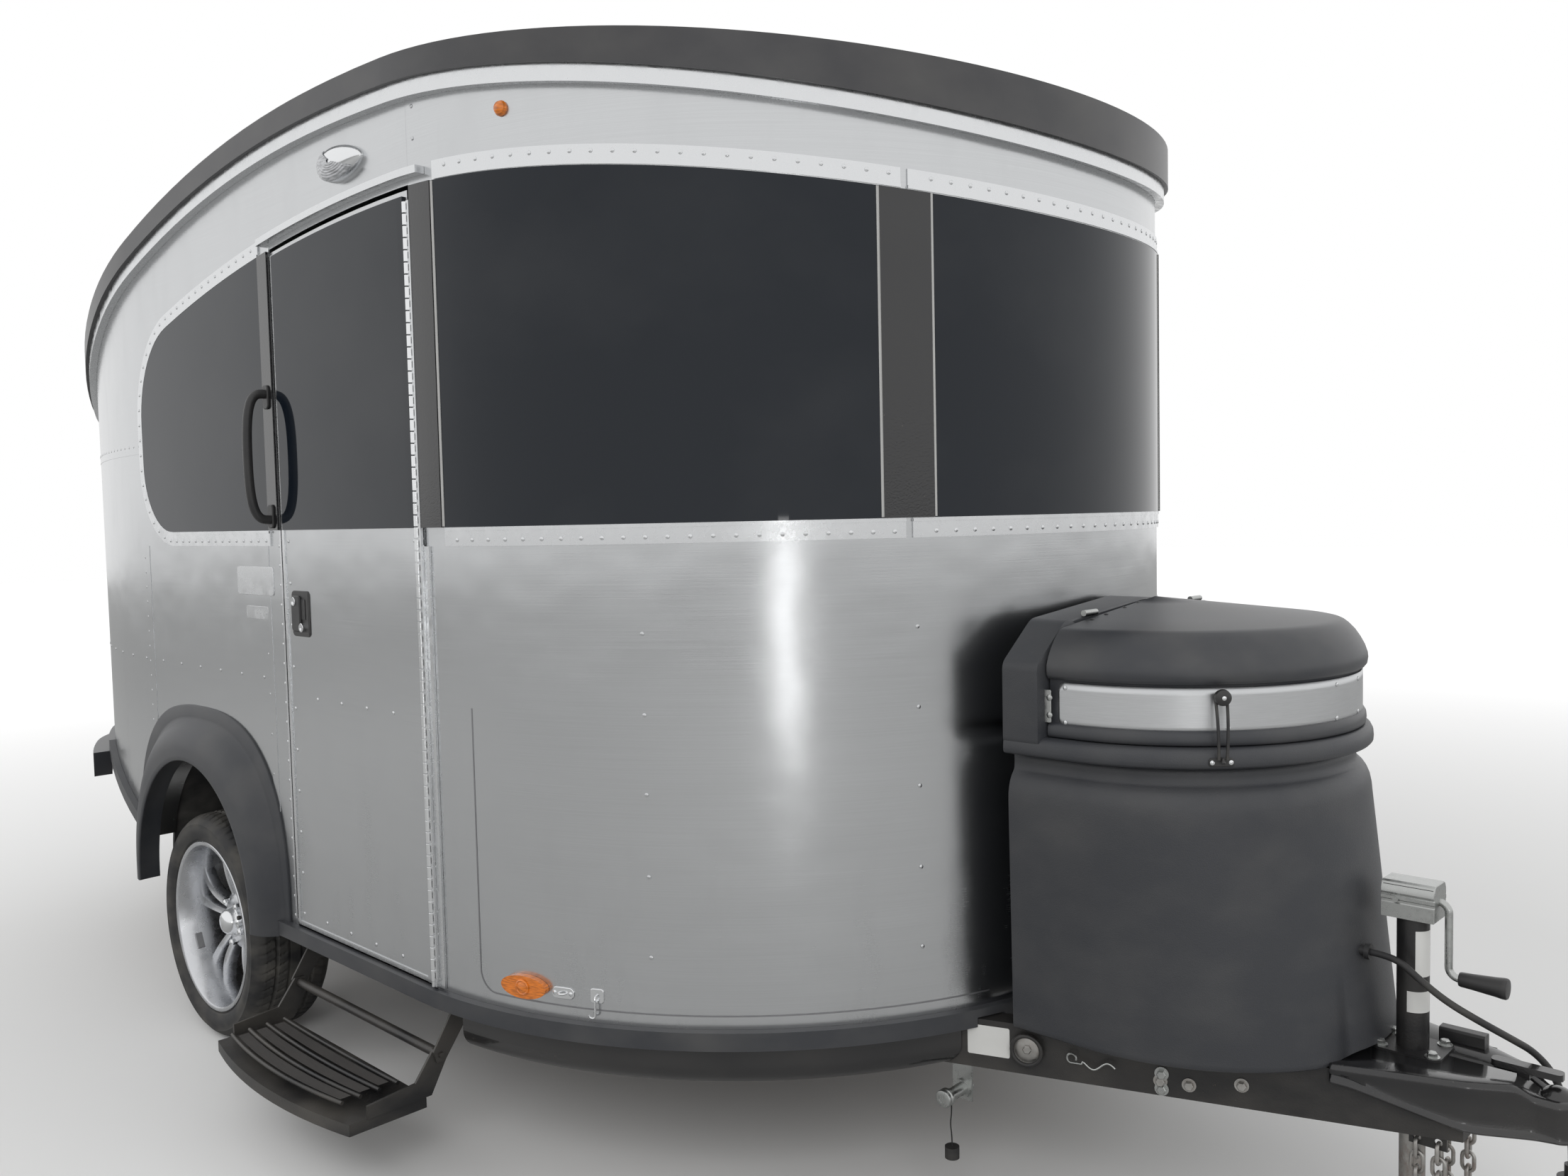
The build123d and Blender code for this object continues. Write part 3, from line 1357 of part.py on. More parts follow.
# Gas outlet under the curb-side tongue rail, its dust cap on a short lanyard
port_x = -996
port_height = 260
port_end_y = -470
port = disc(port_x, port_end_y + 45, up(port_height), 13, 90, "Y")
port = port + disc(port_x, port_end_y + 9, up(port_height), 17, 18, "Y")
port = port + disc(port_x, port_end_y + 70, up(port_height), 20, 16, "Y")
plate_y = -402
plate_low = up(port_height - 22)
port = port + box(port_x - 24, port_x + 24, plate_y, plate_y + 4, plate_low, up(frame_bottom) - seat)
lanyard_y = -440
port = port + disc(port_x, lanyard_y, up(port_height - 14), 3, 10, "Z")
save("gas_port", port)
lanyard_top = port_height - 19
lanyard_route = (
    (port_x, lanyard_y, lanyard_top),
    (port_x, lanyard_y, lanyard_top - 20),
    (port_x - 2, lanyard_y - 3, lanyard_top - 43),
    (port_x - 1, lanyard_y + 1, lanyard_top - 67),
    (port_x - 1, lanyard_y + 1, lanyard_top - 91),
)
save("lanyard", cord(lanyard_route, 1.5))
cap_x, cap_y, cap_height = lanyard_route[-1]
dust_cap = disc(cap_x, cap_y, up(cap_height - 12), 15, 24, "Z")
save("lanyard_cap", dust_cap - disc(cap_x, cap_y, up(cap_height - 20), 12, 24, "Z"))
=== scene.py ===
import math
import bpy
import numpy as np
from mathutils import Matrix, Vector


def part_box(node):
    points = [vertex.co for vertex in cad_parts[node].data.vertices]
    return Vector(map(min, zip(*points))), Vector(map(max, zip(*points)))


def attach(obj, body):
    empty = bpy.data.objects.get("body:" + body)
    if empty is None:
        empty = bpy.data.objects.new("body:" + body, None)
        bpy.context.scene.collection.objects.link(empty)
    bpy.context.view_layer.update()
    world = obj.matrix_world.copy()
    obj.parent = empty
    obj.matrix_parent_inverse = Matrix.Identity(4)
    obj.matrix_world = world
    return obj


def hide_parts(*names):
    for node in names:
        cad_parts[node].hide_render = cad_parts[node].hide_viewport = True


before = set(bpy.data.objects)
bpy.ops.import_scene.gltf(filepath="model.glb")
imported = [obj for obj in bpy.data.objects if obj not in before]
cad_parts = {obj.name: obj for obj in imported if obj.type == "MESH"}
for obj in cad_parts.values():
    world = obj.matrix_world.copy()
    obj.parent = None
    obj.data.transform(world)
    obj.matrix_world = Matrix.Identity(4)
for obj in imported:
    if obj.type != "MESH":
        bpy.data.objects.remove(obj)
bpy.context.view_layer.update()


# Chassis
# Welded steel rails, cross members and stabiliser legs under black paint, with the pressed coupler
# bolted over the tongue. The paint is chipped on its edges and dusty low down.
class Value:
    """A number that varies over a surface. Adding to it or multiplying it adds a Math node."""

    def __init__(self, look, socket):
        self.look = look
        self.socket = socket

    def maths(self, operation, *values):
        return self.look.node("ShaderNodeMath", {"operation": operation}, dict(enumerate(values)))

    def __add__(self, other):
        return self.maths("ADD", self, other)

    def __mul__(self, other):
        return self.maths("MULTIPLY", self, other)

    __radd__ = __add__
    __rmul__ = __mul__


class Look:
    """One procedural material, or the world's. node() adds any node and returns one of its outputs."""

    def __init__(self, name, material=None):
        self.material = material or bpy.data.materials.new(name)
        self.material.use_nodes = True
        self.tree = self.material.node_tree
        self.shader = self.tree.nodes.get("Principled BSDF")

    def feed(self, socket, value):
        if isinstance(value, Value):
            self.tree.links.new(value.socket, socket)
        elif socket.type == "RGBA":
            socket.default_value = (*value[:3], 1)
        else:
            socket.default_value = value

    def node(self, kind, settings=None, inputs=None, output=0):
        made = self.tree.nodes.new(kind)
        for key, value in (settings or {}).items():
            setattr(made, key, value)
        for key, value in (inputs or {}).items():
            self.feed(made.inputs[key], value)
        return Value(self, made.outputs[output])

    def place(self):
        """Object coordinates, in metres."""
        return self.node("ShaderNodeTexCoord", output="Object")

    def axis(self, letter):
        """One of the object coordinates."""
        return self.node("ShaderNodeSeparateXYZ", None, {0: self.place()}, letter)

    def noise(self, cells, detail=2.0, roughness=0.5):
        """Noise from 0 to 1 whose cells have these sizes along X, Y and Z, in metres."""
        divide = {"operation": "DIVIDE"}
        scaled = self.node("ShaderNodeVectorMath", divide, {0: self.place(), 1: cells})
        inputs = {"Vector": scaled, "Scale": 1.0, "Detail": detail, "Roughness": roughness}
        return self.node("ShaderNodeTexNoise", None, inputs)

    def between(self, value, low, high, start=0.0, end=1.0):
        """Straight change from start to end as the value goes from low to high, held at both ends."""
        inputs = {0: value, 1: low, 2: high, 3: start, 4: end}
        return self.node("ShaderNodeMapRange", {"clamp": True}, inputs)

    def mix(self, mask, low, high):
        """Colour that goes from low to high as the mask goes from 0 to 1."""
        return self.node("ShaderNodeMix", {"data_type": "RGBA"}, {0: mask, 6: low, 7: high}, 2)

    def bump(self, height, distance):
        """Normal tilted by a height from 0 to 1 that stands for this distance, in metres."""
        return self.node("ShaderNodeBump", None, {"Height": height, "Distance": distance})

    def finish(self, sockets):
        for key, value in sockets.items():
            self.feed(self.shader.inputs[key], value)
        return self.material


def paint_look(name, colour, roughness, dust, coat=0.0):
    """Paint over metal: a fine ripple, small pale chips and dust that thickens towards the ground."""
    look = Look(name)
    ripple = look.noise((0.004, 0.004, 0.004), 3)
    cloud = look.noise((0.22, 0.22, 0.12), 4)
    chips = look.between(look.noise((0.012, 0.012, 0.012), 5, 0.7), 0.71, 0.74)
    low_down = look.between(look.axis("Z"), ground + 0.05, ground + 0.55, 1.0, 0.0)
    dusty = look.between(cloud, 0.35, 0.75) * (0.25 + 0.75 * low_down) * dust
    tone = look.mix(cloud, [c * 0.8 for c in colour], [c * 1.25 for c in colour])
    tone = look.mix(chips, tone, (0.18, 0.15, 0.12))
    tone = look.mix(dusty, tone, (0.21, 0.19, 0.16))
    return look.finish({
        "Base Color": tone,
        "Roughness": look.between(cloud + dusty, 0.2, 1.4, roughness, roughness + 0.3),
        "Normal": look.bump(ripple, 0.0004),
        "Coat Weight": coat,
    })


def dress(look, *nodes):
    """Gives carried-over nodes their finish."""
    for node in nodes:
        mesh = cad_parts[node].data
        mesh.materials.clear()
        mesh.materials.append(look)


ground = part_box("tyre_curb")[0].z
frame_paint = paint_look("frame_paint", (0.012, 0.012, 0.013), 0.3, 0.4)
coupler_paint = paint_look("coupler_paint", (0.008, 0.008, 0.009), 0.16, 0.15, 0.5)
dress(frame_paint, "chassis_frame", "axle", "rear_leg_curb", "rear_leg_street")
dress(coupler_paint, "coupler_latch")


# Bolts in the tongue rails
# Zinc-plated hexagon bolts with washers, two above each other in the outer face of each rail.
def metal_look(name, colour, roughness, blotch, cell=0.012, rust=0.0):
    """Bare metal: cloudy colour and sheen, a fine grain, and rust in patches where it is low."""
    look = Look(name)
    cloud = look.noise((cell, cell, cell), 4, 0.6)
    fine = look.noise((0.0012, 0.0012, 0.0012), 2)
    dark = [c * (1 - blotch) for c in colour]
    tone = look.mix(cloud, dark, [min(c * (1 + blotch), 1) for c in colour])
    low_down = look.between(look.axis("Z"), ground + 0.02, ground + 0.28, 1.0, 0.15)
    rusty = look.between(look.noise((0.02, 0.02, 0.03), 6, 0.7), 0.45, 0.62) * low_down * rust
    return look.finish({
        "Base Color": look.mix(rusty, tone, (0.16, 0.06, 0.025)),
        "Metallic": look.between(rusty, 0.1, 0.7, 1.0, 0.1),
        "Roughness": look.between(cloud + 1.5 * rusty, 0.25, 1.4, roughness, roughness + 0.5),
        "Normal": look.bump(0.1 * fine + rusty, 0.0002),
    })


def grid_faces(rows, columns, closed=False):
    """Quads between neighbouring points of a grid. Closed joins the last column to the first."""
    row, column = np.mgrid[0:rows - 1, 0:columns if closed else columns - 1]
    after = (column + 1) % columns
    corners = (row, column), (row, after), (row + 1, after), (row + 1, column)
    return np.stack([(r * columns + c).ravel() for r, c in corners], 1)


def join(*shapes):
    """Several shapes, each a pair of points and quads, as one shape."""
    starts = np.cumsum([0] + [len(points) for points, _ in shapes])
    points = np.concatenate([points for points, _ in shapes])
    return points, np.concatenate([faces + start for (_, faces), start in zip(shapes, starts)])


def surface(points, closed=False):
    """Shape from a grid of points with rows, columns and x, y, z."""
    return points.reshape(-1, 3), grid_faces(*points.shape[:2], closed)


def piece(name, shape, look, body="caravan", smooth=38, replaces=(), wall=0.0):
    """
    Mesh object made of a shape. Edges sharper than the smooth angle stay sharp. A skin is given
    the thickness of its wall, which goes inwards.
    """
    points, faces = shape
    mesh = bpy.data.meshes.new(name)
    mesh.from_pydata(points.tolist(), [], [[*dict.fromkeys(face)] for face in faces.tolist()])
    mesh.materials.append(look)
    made = bpy.data.objects.new(name, mesh)
    bpy.context.scene.collection.objects.link(made)
    mesh.validate()
    mesh.shade_smooth()
    mesh.set_sharp_from_angle(angle=math.radians(smooth))
    if wall:
        solid = made.modifiers.new("wall", "SOLIDIFY")
        solid.thickness = wall
        solid.offset = -1
    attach(made, body)
    if replaces:
        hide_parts(*replaces)
    return made


def unit(vectors):
    """Vectors of length 1."""
    return vectors / np.linalg.norm(vectors, axis=-1, keepdims=True)


def full_turn(steps):
    """Angles at equal steps round a circle."""
    return np.arange(steps) * 2 * np.pi / steps


def lathe(section, sides):
    """Ring of a section turned about Z. Each section point is a radius and a height."""
    radius, height = np.array(section, float).T
    angle = full_turn(sides)
    ring = np.stack([np.cos(angle), np.sin(angle)], 1)
    flat = radius[:, None, None] * ring[None]
    rise = np.broadcast_to(height[:, None, None], flat.shape[:2] + (1,))
    return surface(np.concatenate([flat, rise], 2), True)


def frames(out, along):
    """Square frames whose Z is the direction out and whose X is nearest to the direction along."""
    out = unit(np.asarray(out, float))
    across = unit(np.cross(out, np.asarray(along, float)))
    return np.stack([np.cross(across, out), across, out], -1)


def stamp(shape, places, turns):
    """Copies of a small shape, one at each place, turned by that place's frame."""
    points, faces = shape
    places = np.atleast_2d(places)
    turns = np.broadcast_to(turns, (len(places), 3, 3))
    copies = np.einsum("nij,pj->npi", turns, points) + places[:, None]
    steps = np.arange(len(places))[:, None, None] * len(points)
    return copies.reshape(-1, 3), (faces[None] + steps).reshape(-1, 4)


def tube(path, radius, sides=12, closed=False):
    """Round tube along a path: each ring is square to the mean of its two runs, with capped ends."""
    path = np.asarray(path, float)
    if closed:
        tangent = unit(np.roll(path, -1, 0) - np.roll(path, 1, 0))
    else:
        tangent = unit(np.gradient(path, axis=0))
    reference = unit(np.cross(tangent[0], (0.31, 0.17, 0.93)))
    first = []
    for direction in tangent:
        reference = unit(reference - direction * (reference @ direction))
        first.append(reference)
    first = np.array(first)
    second = np.cross(tangent, first)
    angle = full_turn(sides)
    ring = first[:, None] * np.cos(angle)[None, :, None] + second[:, None] * np.sin(angle)[None, :, None]
    points = path[:, None] + ring * radius
    if closed:
        return surface(np.concatenate([points, points[:1]]), True)
    ends = np.broadcast_to(path[[0, -1]][:, None], (2, sides, 3))
    return surface(np.concatenate([ends[:1], points, ends[1:]]), True)


def arc(centre, first, second, radius, start, end, count=12):
    """Points on a circle in the plane of two directions, between two angles in degrees."""
    angle = np.radians(np.linspace(start, end, count))[:, None]
    around = np.cos(angle) * np.array(first, float) + np.sin(angle) * np.array(second, float)
    return np.array(centre, float) + radius * around


zinc = metal_look("zinc_plating", (0.46, 0.47, 0.46), 0.20, 0.16)
old_steel = metal_look("old_steel", (0.46, 0.45, 0.43), 0.34, 0.3, 0.02, 1.0)
across = 0.015
hexagon = lathe([(across * 0.62, 0), (across * 0.62, 0.009), (across * 0.5, 0.0105), (0, 0.0105)], 6)
bolt = join(hexagon, lathe([(across * 0.9, 0), (across * 0.9, 0.002), (0, 0.002)], 20))
rail_slope, rail_start = math.radians(20.3), -0.126
rail_bolts = []
for side in (-1, 1):
    along = (-math.cos(rail_slope), side * math.sin(rail_slope), 0)
    out = (math.sin(rail_slope), side * math.cos(rail_slope), 0)
    spot = np.array((rail_start, side * 0.0917, 0)) + 0.52 * np.array(along) + 0.001 * np.array(out)
    rail_bolts.append(stamp(bolt, spot + [(0, 0, -0.03), (0, 0, -0.06)], frames(out, along)))
piece("rail_bolts", join(*rail_bolts), zinc)


# Tyres
# Moulded rubber with a plain sidewall, a rounded shoulder and a tread cut by four grooves.
# Sipes cross the tread at each block. Each tyre grips the rim's two bead seats.
def rubber_look(name, colour, roughness, dust, cell=0.0015):
    """Rubber or soft plastic: fine pebbling, and pale dust in broad patches."""
    look = Look(name)
    pebbles = look.noise((cell, cell, cell), 3, 0.6)
    patches = look.noise((0.09, 0.09, 0.06), 4)
    dusty = look.between(patches, 0.4, 0.8) * dust
    tone = look.mix(dusty, colour, (0.16, 0.15, 0.13))
    return look.finish({
        "Base Color": tone,
        "Roughness": look.between(dusty + 0.4 * pebbles, 0.1, 0.8, roughness, roughness + 0.18),
        "Normal": look.bump(pebbles, 0.00025),
    })


def smoothstep(value, low, high):
    """Goes smoothly from 0 to 1 as the value goes from low to high."""
    share = np.clip((value - low) / (high - low), 0, 1)
    return share * share * (3 - 2 * share)


tyre_look = rubber_look("tyre_rubber", (0.016, 0.016, 0.017), 0.55, 0.5)
axle_x, axle_z = -3.140, -0.068
wheel_mid = 0.9755
tyre_radius = 0.322
wheels = (("curb", -1, "wheel_curb"), ("street", 1, "wheel_street"))
# sidewall: radius, distance out from the tyre's middle
sidewall = np.array([
    (0.2345, 0.092), (0.241, 0.1), (0.247, 0.1), (0.2485, 0.1035), (0.252, 0.105), (0.262, 0.1095),
    (0.272, 0.1118), (0.282, 0.1122), (0.290, 0.111), (0.2935, 0.112), (0.2965, 0.1095),
    (0.305, 0.103), (0.312, 0.094), (0.3170, 0.084), (0.3185, 0.080),
])
tread_half = 0.078
tread_out = np.linspace(tread_half, -tread_half, 53)
tyre_out = np.concatenate([sidewall[:, 1], tread_out, -sidewall[::-1, 1]])
tread_radius = tyre_radius - 0.0035 * (tread_out / tread_half) ** 2
tyre_r = np.concatenate([sidewall[:, 0], tread_radius, sidewall[::-1, 0]])


def wheel_points(radius, out, angle, side):
    """Points of a wheel from radius, distance out from its middle, and angle about the axle."""
    radius, out, angle = np.broadcast_arrays(radius, out, angle)
    x = axle_x + radius * np.cos(angle)
    return np.stack([x, side * (wheel_mid + out), axle_z + radius * np.sin(angle)], -1)


out_grid, angle_grid = np.meshgrid(tyre_out, full_turn(576), indexing="ij")
on_tread = smoothstep(0.092 - np.abs(out_grid), 0, 0.006)
groove_places, groove_depth, sipe_depth, blocks = (-0.051, -0.017, 0.017, 0.051), 0.007, 0.004, 72
grooves = sum(1 - smoothstep(np.abs(out_grid - c), 0.002, 0.0045) for c in groove_places)
sipe_phase = (angle_grid * blocks / (2 * np.pi) + 14 * np.abs(out_grid)) % 1
sipes = (1 - smoothstep(np.abs(sipe_phase - 0.5), 0.06, 0.14)) * smoothstep(np.abs(out_grid), 0.02, 0.026)
depth = groove_depth * np.clip(grooves, 0, 1) + sipe_depth * sipes * (1 - np.clip(grooves, 0, 1))
tyre_grid = tyre_r[:, None] - on_tread * depth
for name, side, body in wheels:
    skin = surface(wheel_points(tyre_grid, out_grid, angle_grid, side), True)
    piece(f"tyre_{name}_tread", skin, tyre_look, body, 50, [f"tyre_{name}"])


# Wheels
# Cast alloy: a deep polished lip, five spokes each split into two curved blades, a hub with
# chrome nuts and a bullet cap. Lead weights are clipped inside the barrel.
def blade(angle, lean, side):
    """Spoke blade: a rounded section carried outward along a line that bows away from its twin."""
    share = np.linspace(0, 1, 18)
    radius = 0.052 + (0.222 - 0.052) * share
    bow = lean * (0.012 + 0.020 * share + 0.016 * share ** 3)
    out = 0.020 + 0.014 * share + 0.012 * np.sin(np.pi * share)
    half = 0.011 + 0.006 * share ** 2
    # section: share of the half width, distance below the blade's face
    section = np.array([(-1, 0.030), (-1, 0.006), (-0.86, 0.001), (-0.5, 0.002), (0, 0.0035),
                        (0.5, 0.002), (0.86, 0.001), (1, 0.006), (1, 0.030)])
    across = bow[:, None] + half[:, None] * section[:, 0]
    depth = out[:, None] - section[:, 1]
    x = radius[:, None] * np.cos(angle) - across * np.sin(angle)
    z = radius[:, None] * np.sin(angle) + across * np.cos(angle)
    return surface(np.stack([axle_x + x, side * (wheel_mid + depth), axle_z + z], -1))


def wheel_ring(section, side, steps=96):
    """Ring about the axle. Each section point is a radius and a distance out from the middle."""
    return surface(wheel_points(*np.array(section).T[..., None], full_turn(steps)[None], side), True)


alloy = metal_look("cast_alloy", (0.62, 0.63, 0.65), 0.16, 0.08, 0.05)
chrome = metal_look("chrome", (0.78, 0.79, 0.80), 0.05, 0.04, 0.05)
lead = metal_look("wheel_weight", (0.42, 0.42, 0.43), 0.4, 0.2)
barrel = [(0.2340, -0.092), (0.242, -0.0985), (0.242, -0.104), (0.224, -0.104), (0.212, -0.06),
          (0.210, 0.02), (0.2205, 0.070), (0.2285, 0.096), (0.231, 0.1015), (0.2355, 0.104),
          (0.2415, 0.104), (0.243, 0.102), (0.242, 0.0985), (0.2345, 0.0922), (0.228, 0.088),
          (0.218, 0.02), (0.218, -0.02), (0.226, -0.06), (0.234, -0.092)]
hub = [(0.0334, 0), (0.080, 0), (0.084, 0.006), (0.082, 0.018), (0.070, 0.026), (0.055, 0.030),
       (0.0334, 0.031)]
bullet = [(0.040, 0.028), (0.041, 0.036), (0.0385, 0.039), (0.037, 0.050), (0.033, 0.059),
          (0.026, 0.065), (0.016, 0.069), (0.0, 0.0705)]
nut = lathe([(0.0105, 0), (0.0105, 0.012), (0.0095, 0.016), (0.006, 0.0195), (0, 0.020)], 6)
valve = lathe([(0.0045, 0), (0.0045, 0.028), (0.006, 0.03), (0.006, 0.036), (0, 0.036)], 12)
spokes = np.arange(5) * 72
nut_angle = np.radians(126 + spokes)
weight_angle = np.radians(np.linspace(200, 212, 8))
weight_section = np.array([(0.2205, 0.068), (0.215, 0.066), (0.214, 0.048), (0.219, 0.046)])
for name, side, body in wheels:
    blades = [blade(angle, lean, side) for angle in np.radians(92 + spokes) for lean in (-1, 1)]
    piece(f"wheel_{name}_casting", join(wheel_ring(barrel, side), wheel_ring(hub, side), *blades),
          alloy, body, 30, [f"rim_{name}"])
    turn = frames((0, side, 0), (1, 0, 0))
    nuts = stamp(nut, wheel_points(0.061, 0.029, nut_angle, side), turn)
    piece(f"wheel_{name}_cap", join(wheel_ring(bullet, side, 64), nuts), chrome, body)
    stem = stamp(valve, wheel_points(0.212, 0.07, math.radians(18), side), turn)
    piece(f"valve_{name}", stem, tyre_look, body)
    weight = surface(wheel_points(*weight_section.T[..., None], weight_angle[None], side))
    piece(f"weight_{name}", weight, lead, body)


# Walls
# Bare aluminium sheet on a frame, bent round the nose. Dome rivets hold the sheets along the front
# columns, the rear seams and the door, and the sheet is slightly wavy between them.
def sheet_look(name, colour, roughness):
    """Aluminium sheet: a faint rolling grain that runs round the body, soft waves and stains."""
    look = Look(name)
    grain = look.noise((0.35, 0.35, 0.0009), 3, 0.6)
    waves = look.noise((0.55, 0.55, 0.42), 1)
    dents = look.noise((0.16, 0.16, 0.12), 1)
    stains = look.noise((0.09, 0.09, 0.3), 5, 0.6)
    low_down = look.between(look.axis("Z"), 0.05, 0.5, 1.0, 0.2)
    dirty = look.between(stains, 0.5, 0.75) * low_down
    tone = look.mix(dirty, colour, [c * 0.78 for c in colour])
    fine = look.bump(grain, 0.00004)
    return look.finish({
        "Base Color": look.mix(look.between(grain, 0.3, 0.7), [c * 0.93 for c in colour], tone),
        "Metallic": 1.0,
        "Roughness": look.between(grain + dirty, 0.2, 1.5, roughness, roughness + 0.16),
        "Normal": look.node("ShaderNodeBump", None, {
            "Height": waves + 0.25 * dents, "Distance": 0.006, "Normal": fine,
        }),
    })


def run_lengths(x, y):
    """Length along a line from its start to each of its points."""
    return np.concatenate([[0], np.cumsum(np.hypot(np.diff(x), np.diff(y)))])


def plan_line():
    """Points on the body's outline from above, from the nose back along one side, with lengths."""
    count = 400
    front = np.linspace(0, np.pi / 2, count)
    x = [front_centre + body_half * np.cos(front), np.linspace(front_centre, flat_end, count)[1:]]
    y = [body_half * np.sin(front), np.full(count - 1, body_half)]
    heading, px, py = np.pi, flat_end, body_half
    for radius, sweep in ((2.4, 24), (0.5, 54), (2.437, 12)):
        angle = np.linspace(0, math.radians(sweep), count)[1:]
        cx, cy = px + radius * np.cos(heading + np.pi / 2), py + radius * np.sin(heading + np.pi / 2)
        x.append(cx + radius * np.cos(heading - np.pi / 2 + angle))
        y.append(cy + radius * np.sin(heading - np.pi / 2 + angle))
        heading, px, py = heading + angle[-1], x[-1][-1], y[-1][-1]
    x, y = np.concatenate(x), np.concatenate(y)
    return x, y, run_lengths(x, y)


def plan_place(length):
    """X on the body's outline at a length round from the nose."""
    return np.interp(length, plan_s, plan_x)


def on_wall(length, height, side=-1, proud=0.0):
    """Places on the wall from the length round from the nose and the height, with out and along."""
    length, height = np.broadcast_arrays(np.asarray(length, float), np.asarray(height, float))
    x, y = plan_place(length), np.interp(length, plan_s, plan_y)
    dx = plan_place(length + 0.002) - plan_place(length - 0.002)
    dy = np.interp(length + 0.002, plan_s, plan_y) - np.interp(length - 0.002, plan_s, plan_y)
    along = unit(np.stack([dx, side * dy, 0 * dx], -1))
    out = np.stack([along[..., 1] * -side, along[..., 0] * side, 0 * dx], -1)
    outward = np.stack([0 * dx, side * (y + 0.001), 0 * dx], -1)
    out = out * np.sign(np.sum(out * outward, -1, keepdims=True) + 1e-9)
    out = np.where((length < 0.01)[..., None], (1.0, 0.0, 0.0), out)
    points = np.stack([x, side * y, height - ball_height], -1) + out * proud
    return points, out, along


def flat_length(x):
    """Length round from the nose of a place on the flat side."""
    return quarter + front_centre - x


def nose_length(degrees):
    """Length round from the nose of an angle of its half circle."""
    return body_half * math.radians(degrees)


ball_height = 0.390
body_half = 1.067
front_centre = -1.966
flat_end = -3.476
quarter = body_half * np.pi / 2
plan_x, plan_y, plan_s = plan_line()
skin_metal = sheet_look("aluminium_sheet", (0.60, 0.61, 0.62), 0.19)
dress(skin_metal, "wall_front", "wall_curb", "wall_street", "wall_rear")
dome = lathe([(0.0046, 0), (0.0044, 0.0007), (0.0032, 0.0015), (0, 0.0018)], 10)


def wall_rivets(length, height, side, proud=0.0, shape=dome):
    """Rivets standing on the wall."""
    points, out, along = on_wall(length, height, side, proud)
    return stamp(shape, points, frames(out, along))


front_column = np.array([0.58, 0.744, 0.91, 1.07, 1.232])
hatch_column = np.arange(0.8, 1.66, 0.045)
rear_middle = plan_s[-1]
rivet_rows = [
    (nose_length(27.7), front_column),
    (nose_length(57.5), front_column),
    (np.arange(flat_length(-3.53), rear_middle - 0.03, 0.045), 1.71),
    (np.arange(flat_length(-2.734), rear_middle - 0.03, 0.137), 1.067),
    (flat_length(-3.52), np.arange(0.88, 1.40, 0.045)),
    (flat_length(-2.70), np.arange(0.50, 1.40, 0.105)),
    (flat_length(-1.903), np.array([2.272, 2.339])),
    (rear_middle - 0.44, hatch_column),
    (rear_middle - 0.82, hatch_column),
]
rows = [wall_rivets(length, height, side) for side in (-1, 1) for length, height in rivet_rows]
piece("wall_rivets", join(*rows), skin_metal)


# Sheet seams
# Where two sheets meet, the upper or rear one laps over its neighbour and shows its cut edge.
# A fine line is pressed into the front sheets where they were bent up over the chassis. It is drawn as a
# thin raised strip of darker metal, painted shade for the crease.
def wall_strip(lengths, heights, half, proud, side):
    """Thin strip lying on the wall along a line of lengths and heights, square across it."""
    centre, out, _ = on_wall(lengths, heights, side)
    run = unit(np.gradient(centre, axis=0))
    across = np.cross(out, run)
    rows = [centre - across * half, centre - across * half + out * proud,
            centre + across * half + out * proud, centre + across * half]
    return surface(np.stack(rows))


seams = []
for side in (-1, 1):
    seam = np.linspace(flat_length(-3.50), rear_middle, 60)
    seams.append(wall_strip(seam, 1.70, 0.014, 0.0009, side))
    for x, low in ((-3.50, 0.86), (-2.69, 0.45)):
        heights = np.linspace(low, 1.41, 12)
        seams.append(wall_strip(flat_length(x), heights, 0.016, 0.0011, side))
piece("wall_seams", join(*seams), skin_metal)
corner = 0.045
line_start, line_low = nose_length(79.8), 0.464
turn = np.linspace(0, np.pi / 2, 9)
bend_start, bend_top = line_start - corner, line_low + corner
length = np.concatenate([
    np.full(12, line_start), bend_start + corner * np.cos(turn), np.linspace(bend_start, 0.36, 40),
])
height = np.concatenate([
    np.linspace(1.068, bend_top, 12), bend_top - corner * np.sin(turn), np.full(40, line_low),
])
pressed = [wall_strip(length, height, 0.0016, 0.0006, side) for side in (-1, 1)]
# Painted shade: the darker metal of this strip stands in for the shade in the pressed crease.
crease_shade = metal_look("pressed_line_shade", (0.30, 0.30, 0.31), 0.35, 0.1)
piece("pressed_line", join(*pressed), crease_shade)


# Window trims
# Flat strips of bright anodised aluminium above and below the windows, riveted every 45 mm near
# their outer edge, with a rolled bead beside the glass. Sealant shows as a fine grey line.
band_radius, band_x = 5.74, -1.996
band_z = 2.175 - band_radius


def band_top(x, grow=0.0):
    """Height of the window band's top arc at a place along the caravan."""
    return band_z + np.sqrt((band_radius + grow) ** 2 - (x - band_x) ** 2)


def side_window_ring(grow):
    """Lengths and heights round the side window's frame, from its front lower corner to its front top."""
    count = 40
    rear, front, low = -3.481 - grow, -2.655, 1.45 - grow
    r_low, r_high = 0.200 + grow, 0.270 + grow
    turn = np.linspace(0, np.pi / 2, 14)
    x = [np.linspace(front, rear + r_low, count), rear + r_low - r_low * np.sin(turn)]
    z = [np.full(count, low), low + r_low - r_low * np.cos(turn)]
    cx = rear + r_high
    reach = band_radius + grow - r_high
    cz = band_z + math.sqrt(reach ** 2 - (cx - band_x) ** 2)
    top = math.atan2(cz - band_z, cx - band_x)
    turn = np.linspace(np.pi, top, 14)
    x += [np.full(count, rear), cx + r_high * np.cos(turn)]
    z += [np.linspace(low + r_low, cz, count), cz + r_high * np.sin(turn)]
    last = np.linspace(x[-1][-1], front, count)
    x, z = np.concatenate(x + [last]), np.concatenate(z + [band_top(last, grow)])
    return flat_length(x), z


